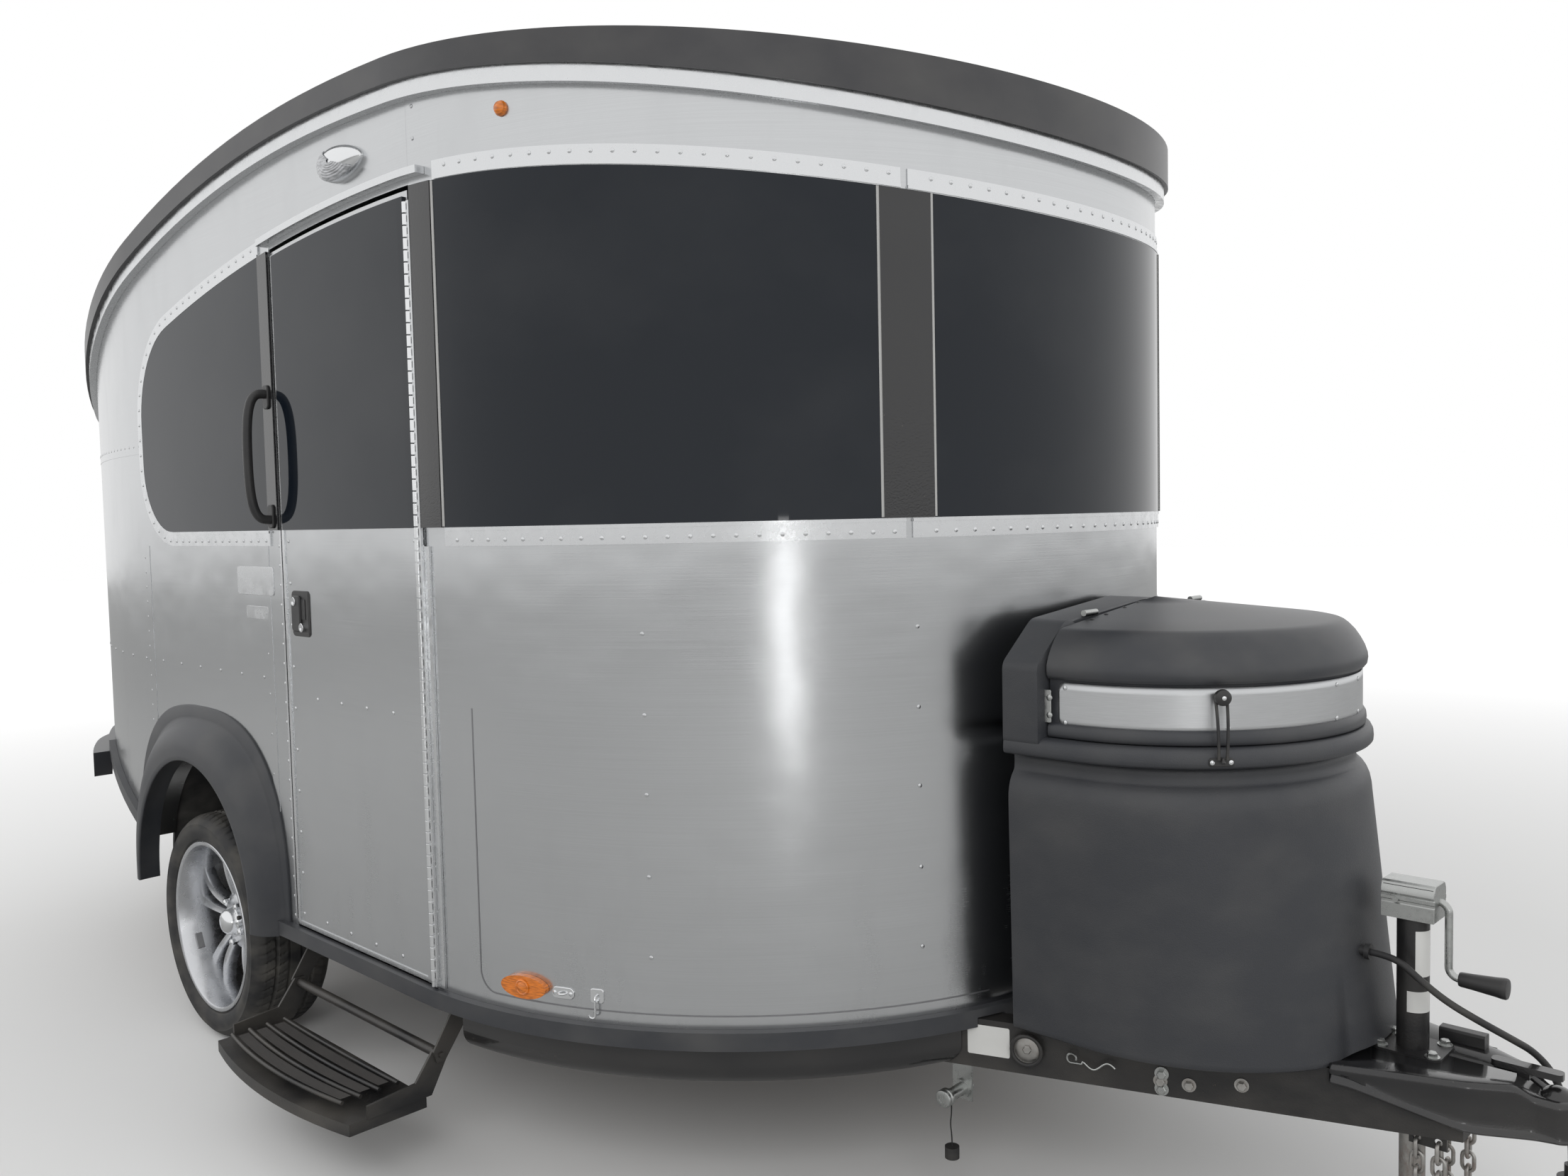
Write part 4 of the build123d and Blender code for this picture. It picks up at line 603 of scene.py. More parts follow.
def spaced(length, height, step):
    """Points at equal steps along a line of lengths and heights."""
    run = run_lengths(length, height)
    marks = np.arange(step / 2, run[-1], step)
    return np.interp(marks, run, length), np.interp(marks, run, height)


bright = metal_look("bright_trim", (0.70, 0.71, 0.72), 0.15, 0.05, 0.03)
dress(bright, "window_trim", "door_gutter", "roof_rail")
trim_proud = 0.004
trim_end = nose_length(82.6)
trim_gap = nose_length(28.5)
marks = []
beads = []
for side in (-1, 1):
    length = np.arange(0.0225, trim_end, 0.045)
    length = length[np.abs(length - trim_gap) > 0.018]
    marks.append(wall_rivets(length, band_top(plan_place(length)) + 0.027, side, trim_proud))
    marks.append(wall_rivets(length, 1.423, side, trim_proud))
    marks.append(wall_rivets(*spaced(*side_window_ring(0.027), 0.045), side, trim_proud))
    for start, end in ((0, trim_gap - 0.0075), (trim_gap + 0.0075, trim_end)):
        length = np.linspace(start, end, 40)
        for height in (band_top(plan_place(length)) + 0.0045, 1.4455):
            beads.append(wall_strip(length, height, 0.0032, trim_proud + 0.0022, side))
    beads.append(wall_strip(*side_window_ring(0.0045), 0.0032, trim_proud + 0.0022, side))
piece("trim_rivets", join(*marks), bright)
piece("trim_beads", join(*beads), bright)


# Pillars and panes
# The band is closed by bonded panes of dark privacy glass. Gloss black covers fill the gaps at
# the pillars, and a pale bead of sealant shows on each side of them.
def glass_look(name, colour, dust):
    """Dark tinted glass: almost black, very smooth, with a trace of dust in soft patches."""
    look = Look(name)
    film = look.between(look.noise((0.4, 0.4, 0.3), 4), 0.45, 0.8) * dust
    swell = look.noise((0.7, 0.7, 0.5), 1)
    return look.finish({
        "Base Color": look.mix(film, colour, (0.10, 0.10, 0.10)),
        "Roughness": look.between(film, 0.0, 0.3, 0.025, 0.08),
        "Normal": look.bump(swell, 0.0012),
        "IOR": 1.38,
    })


privacy_glass = glass_look("privacy_glass", (0.006, 0.009, 0.014), 0.10)
gloss_black = paint_look("gloss_black", (0.006, 0.006, 0.007), 0.06, 0.02, 0.6)
sealant = rubber_look("sealant", (0.42, 0.42, 0.41), 0.5, 0.1)
dress(privacy_glass, "front_panes", "side_panes", "hatch_glass", "door_glass")
dress(gloss_black, "window_pillars")
lines = []
for side in (-1, 1):
    for degrees in (25.5, 31.5, 83.0):
        length = nose_length(degrees)
        heights = np.linspace(1.452, band_top(plan_place(length)) - 0.002, 24)
        lines.append(wall_strip(length, heights, 0.0035, 0.0075, side))
piece("pane_sealant", join(*lines), sealant)


# Door
# An aluminium sheet folded over a frame, with a bonded pane, hung on a full-length piano hinge.
# Its edge is finished by a bright bead and closes on a black rubber seal.
black_rubber = rubber_look("black_rubber", (0.014, 0.014, 0.015), 0.45, 0.25)
dress(skin_metal, "door_panel", "hatch_panel")
dress(bright, "panel_hinges")
door_front, door_rear, door_low = -1.926, -2.595, 0.442
door_top = band_top(door_rear)
heights = np.linspace(door_low + 0.006, door_top - 0.012, 40)
rear_edge = wall_strip(flat_length(door_rear + 0.011), heights, 0.006, 0.0028, -1)
length = np.linspace(flat_length(door_front - 0.008), flat_length(door_rear + 0.008), 30)
low_edge = wall_strip(length, 0.4475, 0.005, 0.0025, -1)
piece("door_edge", join(rear_edge, low_edge), bright, "door")
heights = np.linspace(0.455, door_top + 0.01, 40)
jamb_bead = wall_strip(flat_length(-2.600), heights, 0.0045, 0.0026, -1)
piece("door_jamb_bead", jamb_bead, bright)
heights = 0.474 + 0.1053 * np.arange(10)
door_rivets = [wall_rivets(flat_length(x), heights, -1) for x in (-2.560, -1.954)]
row = flat_length(-2.438 + 0.1215 * np.arange(4))
door_rivets += [wall_rivets(row, height, -1) for height in (0.474, 1.033)]
piece("door_rivets", join(*door_rivets), bright, "door")
heights = np.arange(0.46, 2.15, 0.05)
jamb = wall_rivets(flat_length(-2.612), heights, -1)
leaf = wall_rivets(flat_length(-1.9145), heights, -1, 0.0035)
piece("jamb_rivets", join(jamb, leaf), bright)


# Door latch
# A satin black pan let into the door, with a paddle that is pulled up and a key barrel above and
# below it. A black grab bow and two bare plates are fixed to the wall behind the door.
def plate(width, height, thickness, corner, count=6):
    """Plate in X and Y standing on Z = 0: rounded corners and a chamfered upper edge."""
    angle = (np.linspace(0, np.pi / 2, count) + np.arange(4)[:, None] * np.pi / 2).ravel()
    sign = np.repeat([(1, 1), (-1, 1), (-1, -1), (1, -1)], count, 0)
    middle = sign * (np.array((width, height)) / 2 - corner)
    around = np.stack([np.cos(angle), np.sin(angle)], 1)
    chamfer = min(thickness * 0.4, corner * 0.6)
    rows = []
    for inset, z in ((0, 0), (0, thickness - chamfer), (chamfer, thickness)):
        rows.append(np.concatenate([middle + around * (corner - inset), np.full((len(around), 1), z)], 1))
    rows.append(np.broadcast_to((0, 0, thickness), rows[0].shape))
    return surface(np.stack(rows), True)


satin_black = rubber_look("satin_black", (0.018, 0.018, 0.019), 0.3, 0.1, 0.0008)
latch_centre = np.array((-2.505, -1.067, 1.242 - ball_height))
curb_face = frames((0, -1, 0), (1, 0, 0))
dress(satin_black, "door_latch", "breakaway_switch", "cable_gland")
bezel = stamp(plate(0.094, 0.114, 0.004, 0.012), latch_centre + (0, 0.0015, 0), curb_face)
paddle = stamp(plate(0.046, 0.090, 0.007, 0.010), latch_centre + (-0.018, -0.001, 0.0), curb_face)
piece("latch_bezel", join(bezel, paddle), satin_black, "door")
barrel_lock = lathe([(0.0112, 0), (0.0112, 0.0075), (0.0100, 0.0085), (0.0025, 0.0085), (0.0, 0.0075)], 24)
locks = stamp(barrel_lock, latch_centre + [(-0.026, -0.002, 0.030), (0.012, -0.002, -0.034)], curb_face)
piece("latch_lock", locks, chrome, "door")
bow_x, bow_z = -2.627, 1.635 - ball_height
turn = np.linspace(0, np.pi, 41)
rise = 0.158 * np.sign(np.cos(turn)) * np.abs(np.cos(turn)) ** 0.75
bow_path = np.stack([np.full(41, bow_x), -1.076 - 0.055 * np.sin(turn) ** 0.5, bow_z - rise], 1)
feet = [(bow_x, -1.0765, bow_z + end * 0.150) for end in (-1, 1)]
bow_feet = stamp(plate(0.030, 0.060, 0.005, 0.010), feet, curb_face)
piece("grab_bow", join(tube(bow_path, 0.0115, 16), bow_feet), satin_black,
      replaces=["grab_handle"])
name_plate = stamp(plate(0.214, 0.074, 0.002, 0.008), (-2.76, -1.067, 1.319 - ball_height), curb_face)
small_plate = stamp(plate(0.13, 0.033, 0.0015, 0.005), (-2.755, -1.067, 1.236 - ball_height), curb_face)
piece("bare_plates", join(name_plate, small_plate), bright)


# Piano hinge
# Rolled knuckles of bright steel run the door's whole height on one pin, and thin slots part
# them. Their dark is painted shade: thin black plates laid on the web beside the knuckles.
hinge_low, hinge_high = 0.455 - ball_height, band_top(door_front) - 0.03 - ball_height
count = 66
pitch = (hinge_high - hinge_low) / count
long = pitch - 0.0018
knuckle = lathe([(0, 0), (0.0056, 0), (0.0064, 0.0007), (0.0064, long - 0.0007), (0.0056, long),
                 (0, long)], 14)
steps = np.arange(count)[:, None] * (0, 0, pitch)
knuckles = stamp(knuckle, (door_front, -1.076, hinge_low) + steps, np.eye(3))
piece("hinge_knuckles", knuckles, chrome)
web_place = (-1.9170, -1.0703, (hinge_low + hinge_high) / 2)
web = stamp(plate(0.0105, hinge_high - hinge_low, 0.0065, 0.0012), web_place, curb_face)
piece("hinge_web", web, bright)
# Painted shade: thin black plates stand in for the shadow in the slots between the hinge's tabs.
slot_shade = plate(0.0020, pitch * 0.55, 0.0004, 0.0008, 3)
slot_shades = stamp(slot_shade, (-1.9178, -1.0766, hinge_low + pitch / 2) + steps, curb_face)
piece("hinge_slot_shade", slot_shades, satin_black)


# Roof
# A moulded cap with a drooping brim covers the roof over a bright gutter rail. It carries a vent
# with a hinged lid and a covered air conditioner.
def moulded_look(name, colour, roughness, dust, cell=0.0012, depth=0.00012):
    """Moulded plastic: fine grain, slightly uneven gloss, and dust in patches."""
    look = Look(name)
    grain = look.noise((cell, cell, cell), 3, 0.6)
    cloud = look.noise((0.15, 0.15, 0.1), 4)
    dusty = look.between(cloud, 0.4, 0.8) * dust
    return look.finish({
        "Base Color": look.mix(dusty, colour, (0.22, 0.21, 0.19)),
        "Roughness": look.between(grain + dusty, 0.2, 1.2, roughness, roughness + 0.15),
        "Normal": look.bump(grain, depth),
    })


roof_look = moulded_look("roof_shell", (0.038, 0.038, 0.041), 0.30, 0.12)
white_plastic = moulded_look("white_plastic", (0.62, 0.62, 0.60), 0.35, 0.1)
dress(roof_look, "roof_cap", "aircon_shroud")
dress(white_plastic, "roof_vent", "roof_vent_lid")


# Mouldings and floor
# Charcoal plastic runs round the body's lower edge and the rear bumper, over a gloss black skirt.
# The wheel housings are black plastic, the floor is varnished plywood.
charcoal = moulded_look("charcoal_moulding", (0.035, 0.037, 0.042), 0.33, 0.15)
black_plastic = moulded_look("black_plastic", (0.016, 0.016, 0.017), 0.42, 0.5)
gloss_skirt = paint_look("gloss_skirt", (0.010, 0.010, 0.011), 0.12, 0.12, 0.6)
dress(charcoal, "belt_moulding", "rear_bumper")
dress(gloss_skirt, "front_skirt")
dress(black_plastic, "wheel_housings")


def board_look(name, colour):
    """Varnished plywood: long grain along the caravan, darker in its streaks."""
    look = Look(name)
    grain = look.noise((0.6, 0.012, 0.012), 4, 0.6)
    return look.finish({
        "Base Color": look.mix(look.between(grain, 0.35, 0.7), colour, [c * 0.55 for c in colour]),
        "Roughness": look.between(grain, 0.2, 0.8, 0.35, 0.5),
        "Normal": look.bump(grain, 0.0002),
    })


dress(board_look("floor_board", (0.24, 0.16, 0.09)), "floor")


# Fenders
# One moulding of charcoal plastic round each wheel arch: a flat flange on the wall, a bulge over
# the tyre and a rolled lip. It is held by screws from inside the arch.
def arch_run(radius, out, side):
    """
    Points round a wheel arch, up one leg, over the top and down the other, for a row of radii and
    distances out. At the lip it is a circle. Outwards it grows squarer, by a smaller power of the
    cosine and sine, and its middle rises.
    """
    turn = np.linspace(0, np.pi, 49)[:, None]
    drop = np.array([[arch_low], [arch_low / 2]]) + 0 * radius
    beyond = (radius - lip_radius) / flange_width
    power = 1 - 0.26 * beyond
    leg = np.ones((2, 1)) + 0 * radius
    across = np.sign(np.cos(turn)) * np.abs(np.cos(turn)) ** power
    x = np.concatenate([leg, across, -leg]) * radius
    over = np.clip(np.sin(turn), 0, 1) ** power * radius + 0.030 * beyond
    up = np.concatenate([drop, over, drop[::-1]])
    y = np.broadcast_to(side * (body_half + 0.0003 + out), x.shape)
    return np.stack([axle_x + x, y, arch_mid + up], -1)


arch_mid, arch_low = 0.420 - ball_height, -0.025
lip_radius, flange_width = 0.3858, 0.117
# outside of the moulding: radius, distance out from the wall
outer_skin = np.array([
    (0.5030, 0), (0.5033, 0.0045), (0.5010, 0.007), (0.4780, 0.0075), (0.4710, 0.011), (0.4660, 0.018),
    (0.4590, 0.028), (0.4500, 0.038), (0.4390, 0.047), (0.4260, 0.0540), (0.4120, 0.0585), (0.4020, 0.0602),
    (0.3965, 0.0615), (0.3925, 0.0620), (0.3885, 0.0610),
])
inner_skin = np.array([
    (0.3900, 0), (0.3900, 0.004), (0.3900, 0.007), (0.3900, 0.010), (0.3900, 0.014), (0.3900, 0.020),
    (0.3898, 0.027), (0.3892, 0.034), (0.3885, 0.041), (0.3875, 0.047), (0.3868, 0.052), (0.3862, 0.055),
    (0.3858, 0.0575), (0.3858, 0.0590), (0.3868, 0.0605),
])
fender_look = moulded_look("fender_moulding", (0.030, 0.032, 0.037), 0.38, 0.12, 0.0018, 0.0002)
section = np.concatenate([outer_skin, inner_skin[::-1]])
flares = []
for side in (-1, 1):
    rows = arch_run(section[:, 0], section[:, 1], side)
    ends = [(rows[k] + rows[k, ::-1]) / 2 for k in (0, -1)]
    flares.append(surface(np.concatenate([ends[:1], rows, ends[1:]]), True))
piece("fender_flares", join(*flares), fender_look, smooth=45,
      replaces=["fenders"])


# Lamps
# Clear and coloured covers over reflectors: a porch lamp over the door, small round and large oval
# amber markers on both sides, and two red tail lamps. The covers are ribbed on the inside.
def lens_look(name, colour, ribs):
    """Moulded lens: its ribs show as fine lines, and it glows a little deeper between them."""
    look = Look(name)
    lines = look.noise((ribs * 6, ribs * 6, ribs), 1)
    cloud = look.noise((0.02, 0.02, 0.02), 3)
    return look.finish({
        "Base Color": look.mix(look.between(lines, 0.35, 0.65), [c * 0.6 for c in colour], colour),
        "Roughness": look.between(cloud, 0.2, 0.8, 0.12, 0.22),
        "Normal": look.bump(lines, 0.0006),
        "Coat Weight": 0.6,
    })


amber = lens_look("amber_lens", (0.75, 0.20, 0.012), 0.003)
red = lens_look("red_lens", (0.42, 0.012, 0.012), 0.004)
clear = lens_look("clear_lens", (0.55, 0.56, 0.58), 0.004)
dress(amber, "marker_lamps")
dress(red, "tail_lamps")


def lamp_shell(reach, turn, grow=0.0):
    """Egg-shaped dome on the wall: half an ellipsoid whose front end is narrower than its rear end."""
    x = (0.092 + grow) * reach * np.cos(turn)
    z = (0.039 + grow) * reach * np.sin(turn) * (1 - 0.22 * reach * np.cos(turn))
    out = (0.034 + grow) * np.sqrt(np.clip(1 - reach ** 2, 0, 1)) ** 0.8 * (1 - 0.15 * np.cos(turn) * reach)
    return np.stack([-2.200 + x, -1.0672 - out, 2.281 - ball_height + z], -1)


reach = np.sin(np.linspace(0, np.pi / 2, 22))[:, None]
shell = surface(lamp_shell(reach, np.linspace(0, 2 * np.pi, 65)[None, :-1]), True)
piece("porch_shell", shell, chrome, replaces=["porch_light"])
reach = np.linspace(0.12, 0.93, 64)[:, None]
turn = np.radians(np.linspace(128, 318, 60))[None]
lens = lamp_shell(reach, turn, 0.0012 + 0.0006 * np.cos(reach * 2 * np.pi * 9))
piece("porch_lens", surface(lens), clear, wall=0.001)
bulls_eye = lathe([(0.017, -0.001), (0.017, 0.002), (0.0145, 0.0035), (0.012, 0.002), (0.007, 0.0045),
                   (0, 0.0055)], 24)
button = lathe([(0.0155, 0), (0.0155, 0.003), (0.0135, 0.005), (0.0125, 0.009), (0.007, 0.012),
                (0, 0.013)], 24)
for name, degrees, height, proud, lamp in (
    ("marker_bulls_eyes", 73, 0.495, 0.014, bulls_eye),
    ("high_markers", 72.4, 2.284, 0, button),
):
    pair = [wall_rivets(nose_length(degrees), height, side, proud, lamp) for side in (-1, 1)]
    piece(name, join(*pair), amber)


# Gas bottle cover
# Rotation-moulded charcoal plastic with an orange-peel grain. It stands on the tongue rails, its
# shoulder turns into a neck under a proud collar, and a hood behind the lid carries the hinges.
def cover_ring(height, half, nose, rear):
    """Ring round the cover: straight sides, then half an ellipse round the nose."""
    angle = np.linspace(-np.pi / 2, np.pi / 2, 61)
    x = np.concatenate([[rear, rear], round_start + (nose - round_start) * np.cos(angle), [rear, rear]])
    y = np.concatenate([[0.0, -half], half * np.sin(angle), [half, 0.0]])
    return np.stack([x, y, np.full(len(x), height - ball_height)], 1)


def cover_rows(levels, rear):
    """Rings through levels of height, half width and nose, in millimetres."""
    return np.stack([cover_ring(*(v / 1000 for v in level), rear) for level in levels])


def over_coupler(x, y):
    """Lowest height of the cover's edge: raised over the coupler and the jack's flange."""
    near = smoothstep(-x, 0.345, 0.300) * smoothstep(-np.abs(y), -0.20, -0.17)
    return 0.0275 + 0.020 * near


round_start, cover_rear = -0.724, -0.876
peel = moulded_look("orange_peel", (0.034, 0.036, 0.041), 0.36, 0.10, 0.0024, 0.0005)
body_rows = cover_rows([
    (417.3, 386, -290), (421, 389.5, -286.5), (430, 390, -286), (600, 392.5, -306), (760, 395.5, -325),
    (880, 397.5, -340), (898, 397, -342), (912, 394.5, -345), (924, 390, -350), (933, 384.5, -356),
    (940, 378.5, -364), (945, 375, -370), (960, 374, -372), (980, 375, -371),
], cover_rear)
body_rows[..., 2] = np.maximum(body_rows[..., 2], over_coupler(body_rows[..., 0], body_rows[..., 1]))
piece("cover_body", surface(body_rows, True), peel, smooth=60,
      replaces=["cover_base"], wall=0.005)
collar_rows = cover_rows([
    (978.5, 374, -372), (979, 404, -350), (981, 410, -344), (985, 413.5, -340.5), (992, 414, -340),
    (1004, 413, -341), (1012, 409, -345), (1017, 402, -350), (1018.2, 394, -357), (1018.3, 380, -372),
], cover_rear)
piece("cover_collar", surface(collar_rows, True), peel, smooth=60, wall=0.004)


def slab(ring, thickness, chamfer):
    """Plate from a convex ring of X and Y, standing on Z = 0, with a chamfered upper edge."""
    ring = np.asarray(ring, float)
    centre = ring.mean(0)
    shrink = 1 - chamfer / np.abs(ring - centre).max(0).min()
    rows = []
    for scale, z in ((0, 0), (1, 0), (1, thickness - chamfer), (shrink, thickness), (0, thickness)):
        rows.append(np.concatenate([centre + (ring - centre) * scale, np.full((len(ring), 1), z)], 1))
    return surface(np.stack(rows), True)


def rounded(corners, radius):
    """Ring through corners, each replaced by a short curve that starts at this distance from it."""
    corners = np.asarray(corners, float)
    before, after = np.roll(corners, 1, 0), np.roll(corners, -1, 0)
    start = corners + unit(before - corners) * radius
    end = corners + unit(after - corners) * radius
    share = np.linspace(0, 1, 5)[None, :, None]
    first = start[:, None] + share * (corners - start)[:, None]
    second = corners[:, None] + share * (end - corners)[:, None]
    return (first + share * (second - first)).reshape(-1, 2)


forward_face = frames((1, 0, 0), (0, 1, 0))
hood_corners = [(-0.414, 1.000), (0.414, 1.000), (0.414, 1.160), (0.310, 1.240), (0, 1.268),
                (-0.310, 1.240), (-0.414, 1.160)]
hood = slab(rounded(hood_corners, 0.014) - (0, ball_height), 0.086, 0.006)
piece("cover_hood", stamp(hood, (cover_rear, 0, 0), forward_face), peel)
hinge_rod = lathe([(0, -0.024), (0.0062, -0.024), (0.0062, 0.024), (0, 0.024)], 16)
hood_pins = stamp(hinge_rod, [(-0.788, y, 0.860) for y in (-0.23, 0.23)], frames((0, 1, 0), (1, 0, 0)))
piece("cover_hinge_pins", hood_pins, zinc)


# Lid of the cover
# One moulding with a lip, a recess for the brushed strip, a brow that overhangs it and a domed
# top. A rubber loop hooks over a knob on the strip and pulls it down to a bracket on the collar.
lid_rows = cover_rows([
    (1019, 378, -370), (1019.2, 391, -357), (1022, 394.5, -353.5), (1030, 395.5, -352.5),
    (1040, 394.5, -353.5), (1046, 391, -357), (1048, 386.2, -361.8), (1049, 385, -363), (1131, 385, -363),
    (1132, 386.2, -361.8), (1134, 392, -356), (1140, 396.5, -351.5), (1150, 398, -350), (1160, 397, -351),
    (1174, 391.5, -355.5), (1190, 382, -363.5), (1205, 370, -373), (1217, 358, -384), (1223.5, 349, -392),
    (1226.5, 342, -398), (1228.5, 333, -407),
], -0.785)
peak = np.array([-0.765, 0, 1.270 - ball_height])
rise = np.array([0.25, 0.5, 0.75, 1.0])[:, None, None]
lid_skin = surface(np.concatenate([lid_rows, lid_rows[-1] + rise * (peak - lid_rows[-1])]), True)
piece("cover_lid_shell", lid_skin, charcoal, "cover_lid", 60,
      replaces=["cover_lid"], wall=0.005)


def brushed_look(name, colour):
    """Brushed metal: fine scratches along its length."""
    look = Look(name)
    scratches = look.noise((0.05, 0.05, 0.0006), 3, 0.6)
    cloud = look.noise((0.2, 0.2, 0.2), 3)
    return look.finish({
        "Base Color": look.mix(look.between(scratches, 0.3, 0.7), [c * 0.86 for c in colour], colour),
        "Metallic": 1.0,
        "Roughness": look.between(scratches + 0.5 * cloud, 0.3, 1.2, 0.26, 0.46),
        "Normal": look.bump(scratches, 0.00008),
    })


brushed = brushed_look("brushed_strip", (0.64, 0.65, 0.66))
turn = np.radians(np.linspace(-90, 90, 81))
leg = np.linspace(-0.764, -0.725, 16)
strip_long, strip_wide, strip_corner = 0.3643, 0.3883, 0.014
strip_x = np.concatenate([leg, round_start + strip_long * np.cos(turn), leg[::-1]])
strip_y = strip_wide * np.concatenate([np.full(16, -1), np.sin(turn), np.full(16, 1)])
strip_run = run_lengths(strip_x, strip_y)
from_end = np.minimum(np.minimum(strip_run, strip_run[-1] - strip_run), strip_corner)
strip_half = 0.0435 - strip_corner + np.sqrt(strip_corner ** 2 - (strip_corner - from_end) ** 2)
strip_z = 1.0835 - ball_height + np.linspace(-1, 1, 7)[:, None] * strip_half
strip_skin = np.stack([np.broadcast_to(v, strip_z.shape) for v in (strip_x, strip_y)] + [strip_z], -1)
piece("brushed_strip", surface(strip_skin), brushed, "cover_lid",
      replaces=["cover_strip"], wall=0.0025)


def cover_spot(degrees, height, half, nose):
    """Place on the cover's nose at an angle of its ellipse, with the direction out."""
    a = np.radians(degrees)
    long = nose - round_start
    place = np.stack([round_start + long * np.cos(a), half * np.sin(a), height - ball_height + 0 * a], -1)
    return place, unit(np.stack([np.cos(a) / long, np.sin(a) / half, 0 * a], -1))


angles = np.repeat([-46.5, -8.0, 8.0, 46.5], 2)
places, outs = cover_spot(angles, np.tile([1.052, 1.116], 4), 0.3886, -0.3594)
ends = [(-0.750, side * 0.3886, height - ball_height) for side in (-1, 1) for height in (1.050, 1.117)]
end_outs = [(0, side, 0) for side in (-1, -1, 1, 1)]
rivets = stamp(dome, np.concatenate([places, ends]), frames(np.concatenate([outs, end_outs]), (0, 0, 1)))
piece("strip_rivets", rivets, bright, "cover_lid")
lid_screw = lathe([(0.0065, 0), (0.0062, 0.0015), (0.004, 0.003), (0, 0.0032)], 16)
lid_hinges = []
for side in (-1, 1):
    side_face = frames((0, side, 0), (0, 0, 1))
    plate_place = (-0.786, side * 0.3955, 1.080 - ball_height)
    screw_places = [(-0.779, side * 0.3972, height - ball_height) for height in (1.063, 1.097)]
    lid_hinges.append(stamp(plate(0.064, 0.020, 0.002, 0.003), plate_place, side_face))
    lid_hinges.append(stamp(lid_screw, screw_places, side_face))
piece("lid_side_plates", join(*lid_hinges), zinc, "cover_lid")
top_y = np.array([-0.255, -0.20, -0.125, -0.07, 0.07, 0.125, 0.20, 0.255])
top_z = 1.2275 - ball_height + 0.0420 * (1 - np.abs(top_y) / 0.345)
top_places = np.stack([np.full(8, -0.768), top_y, top_z], 1)
piece("lid_top_screws", stamp(dome, top_places, np.eye(3)), satin_black, "cover_lid")
latch_angle, knob_reach = -49.0, 0.0105
centre, out = cover_spot(latch_angle, 1.112, 0.389, -0.359)
knob = lathe([(0.008, -0.004), (0.008, 0.010), (0.013, 0.013), (0.0155, 0.019), (0.0145, 0.026),
              (0.009, 0.030), (0.0045, 0.0305), (0.004, 0.029), (0, 0.029)], 28)
knob_turn = frames(out, (0, 0, 1))
piece("latch_knob", stamp(knob, centre, knob_turn), satin_black, "cover_lid",
      replaces=["cover_latch"])
down = np.array((0, 0, -1.0))
across = np.cross(out, down)
foot = cover_spot(latch_angle, 1.000, 0.4145, -0.3395)[0] + out * 0.010
groove = centre + out * 0.011
share = np.linspace(0, 1, 12)[:, None]
legs = []
for side in (-1, 1):
    top = groove + side * across * knob_reach
    low = foot + side * across * 0.0075
    legs.append(top + (low - top) * share + out * 0.006 * np.sin(np.pi * share))
over_knob = arc(groove, across, -down, knob_reach, 0, 180, 14)
loop_path = np.concatenate([legs[0][::-1], over_knob[::-1], legs[1]])
piece("latch_loop", tube(loop_path, 0.003, 10), black_rubber, "cover_lid")
bracket_turn = frames(out, across)
bracket = stamp(plate(0.046, 0.016, 0.003, 0.006), foot - out * 0.0105 + down * 0.006, bracket_turn)
hook = tube([foot - out * 0.010, foot + out * 0.001, foot + out * 0.004 + down * 0.006], 0.0035, 10)
piece("latch_bracket", join(bracket, hook), satin_black)
screw_places = [foot - out * 0.0075 + down * 0.006 + side * across * 0.017 for side in (-1, 1)]
piece("latch_screws", stamp(dome, screw_places, bracket_turn), chrome)
piece("knob_screw", stamp(dome, centre + out * 0.0292, knob_turn), chrome, "cover_lid")


# Coupler and jack
# The jack's black tube is bolted to the coupler by its flange. A folded zinc cover holds its
# gears and a cranked handle with a black grip turns them. Its leg is rusty at the foot.
dress(frame_paint, "jack_body")
dress(zinc, "bottle_tray")
dress(old_steel, "jack_leg")


def running_mean(values, width):
    """Mean of each value with its neighbours, with the end values held."""
    padded = np.pad(values, width // 2, mode="edge")
    return np.convolve(padded, np.ones(width) / width, "valid")


coupler_x = np.linspace(-0.330, -0.020, 63)
coupler_half = running_mean(np.interp(coupler_x, [-0.330, -0.126, -0.022], [0.1757, 0.1003, 0.0395]), 5)
nose_turn = np.radians(np.linspace(-84, 84, 25))
plan = np.concatenate([
    np.stack([coupler_x, -coupler_half], 1),
    np.stack([0.0315 * np.cos(nose_turn), 0.0395 * np.sin(nose_turn)], 1),
    np.stack([coupler_x, coupler_half], 1)[::-1],
])
plan_run = unit(np.gradient(plan, axis=0))
plan_out = np.stack([plan_run[:, 1], -plan_run[:, 0]], 1)
top_z = 0.0354 - 0.020 * smoothstep(plan[:, 0], -0.060, -0.015)
slope_x, slope_z = [-0.330, -0.300, -0.137, -0.110, 0.04], [0.004, 0.000, -0.0445, -0.050, -0.0535]
low_z = running_mean(np.interp(plan[:, 0], slope_x, slope_z), 5)
flare = 0.004 + 0.007 * (smoothstep(plan[:, 0], -0.30, -0.13) - smoothstep(plan[:, 0], -0.030, 0.010))
# from the middle line out over the rounded edge and down the side: distance outside the plan,
# share of the side's height, height above that
side_levels = [(-0.0100, 1, 0), (-0.0050, 1, -0.0006), (-0.0020, 1, -0.0022), (-0.0004, 1, -0.0050),
               (0, 1, -0.0085), (-0.0004, 1, -0.0125), (-0.0012, 0.62, 0), (-0.0012, 0.3, 0)]
side_rows = [np.stack([plan[:, 0], 0 * top_z, top_z], 1)]
for outward, share, above in side_levels:
    z = low_z + (top_z - low_z) * share + above
    side_rows.append(np.concatenate([plan + plan_out * outward, z[:, None]], 1))
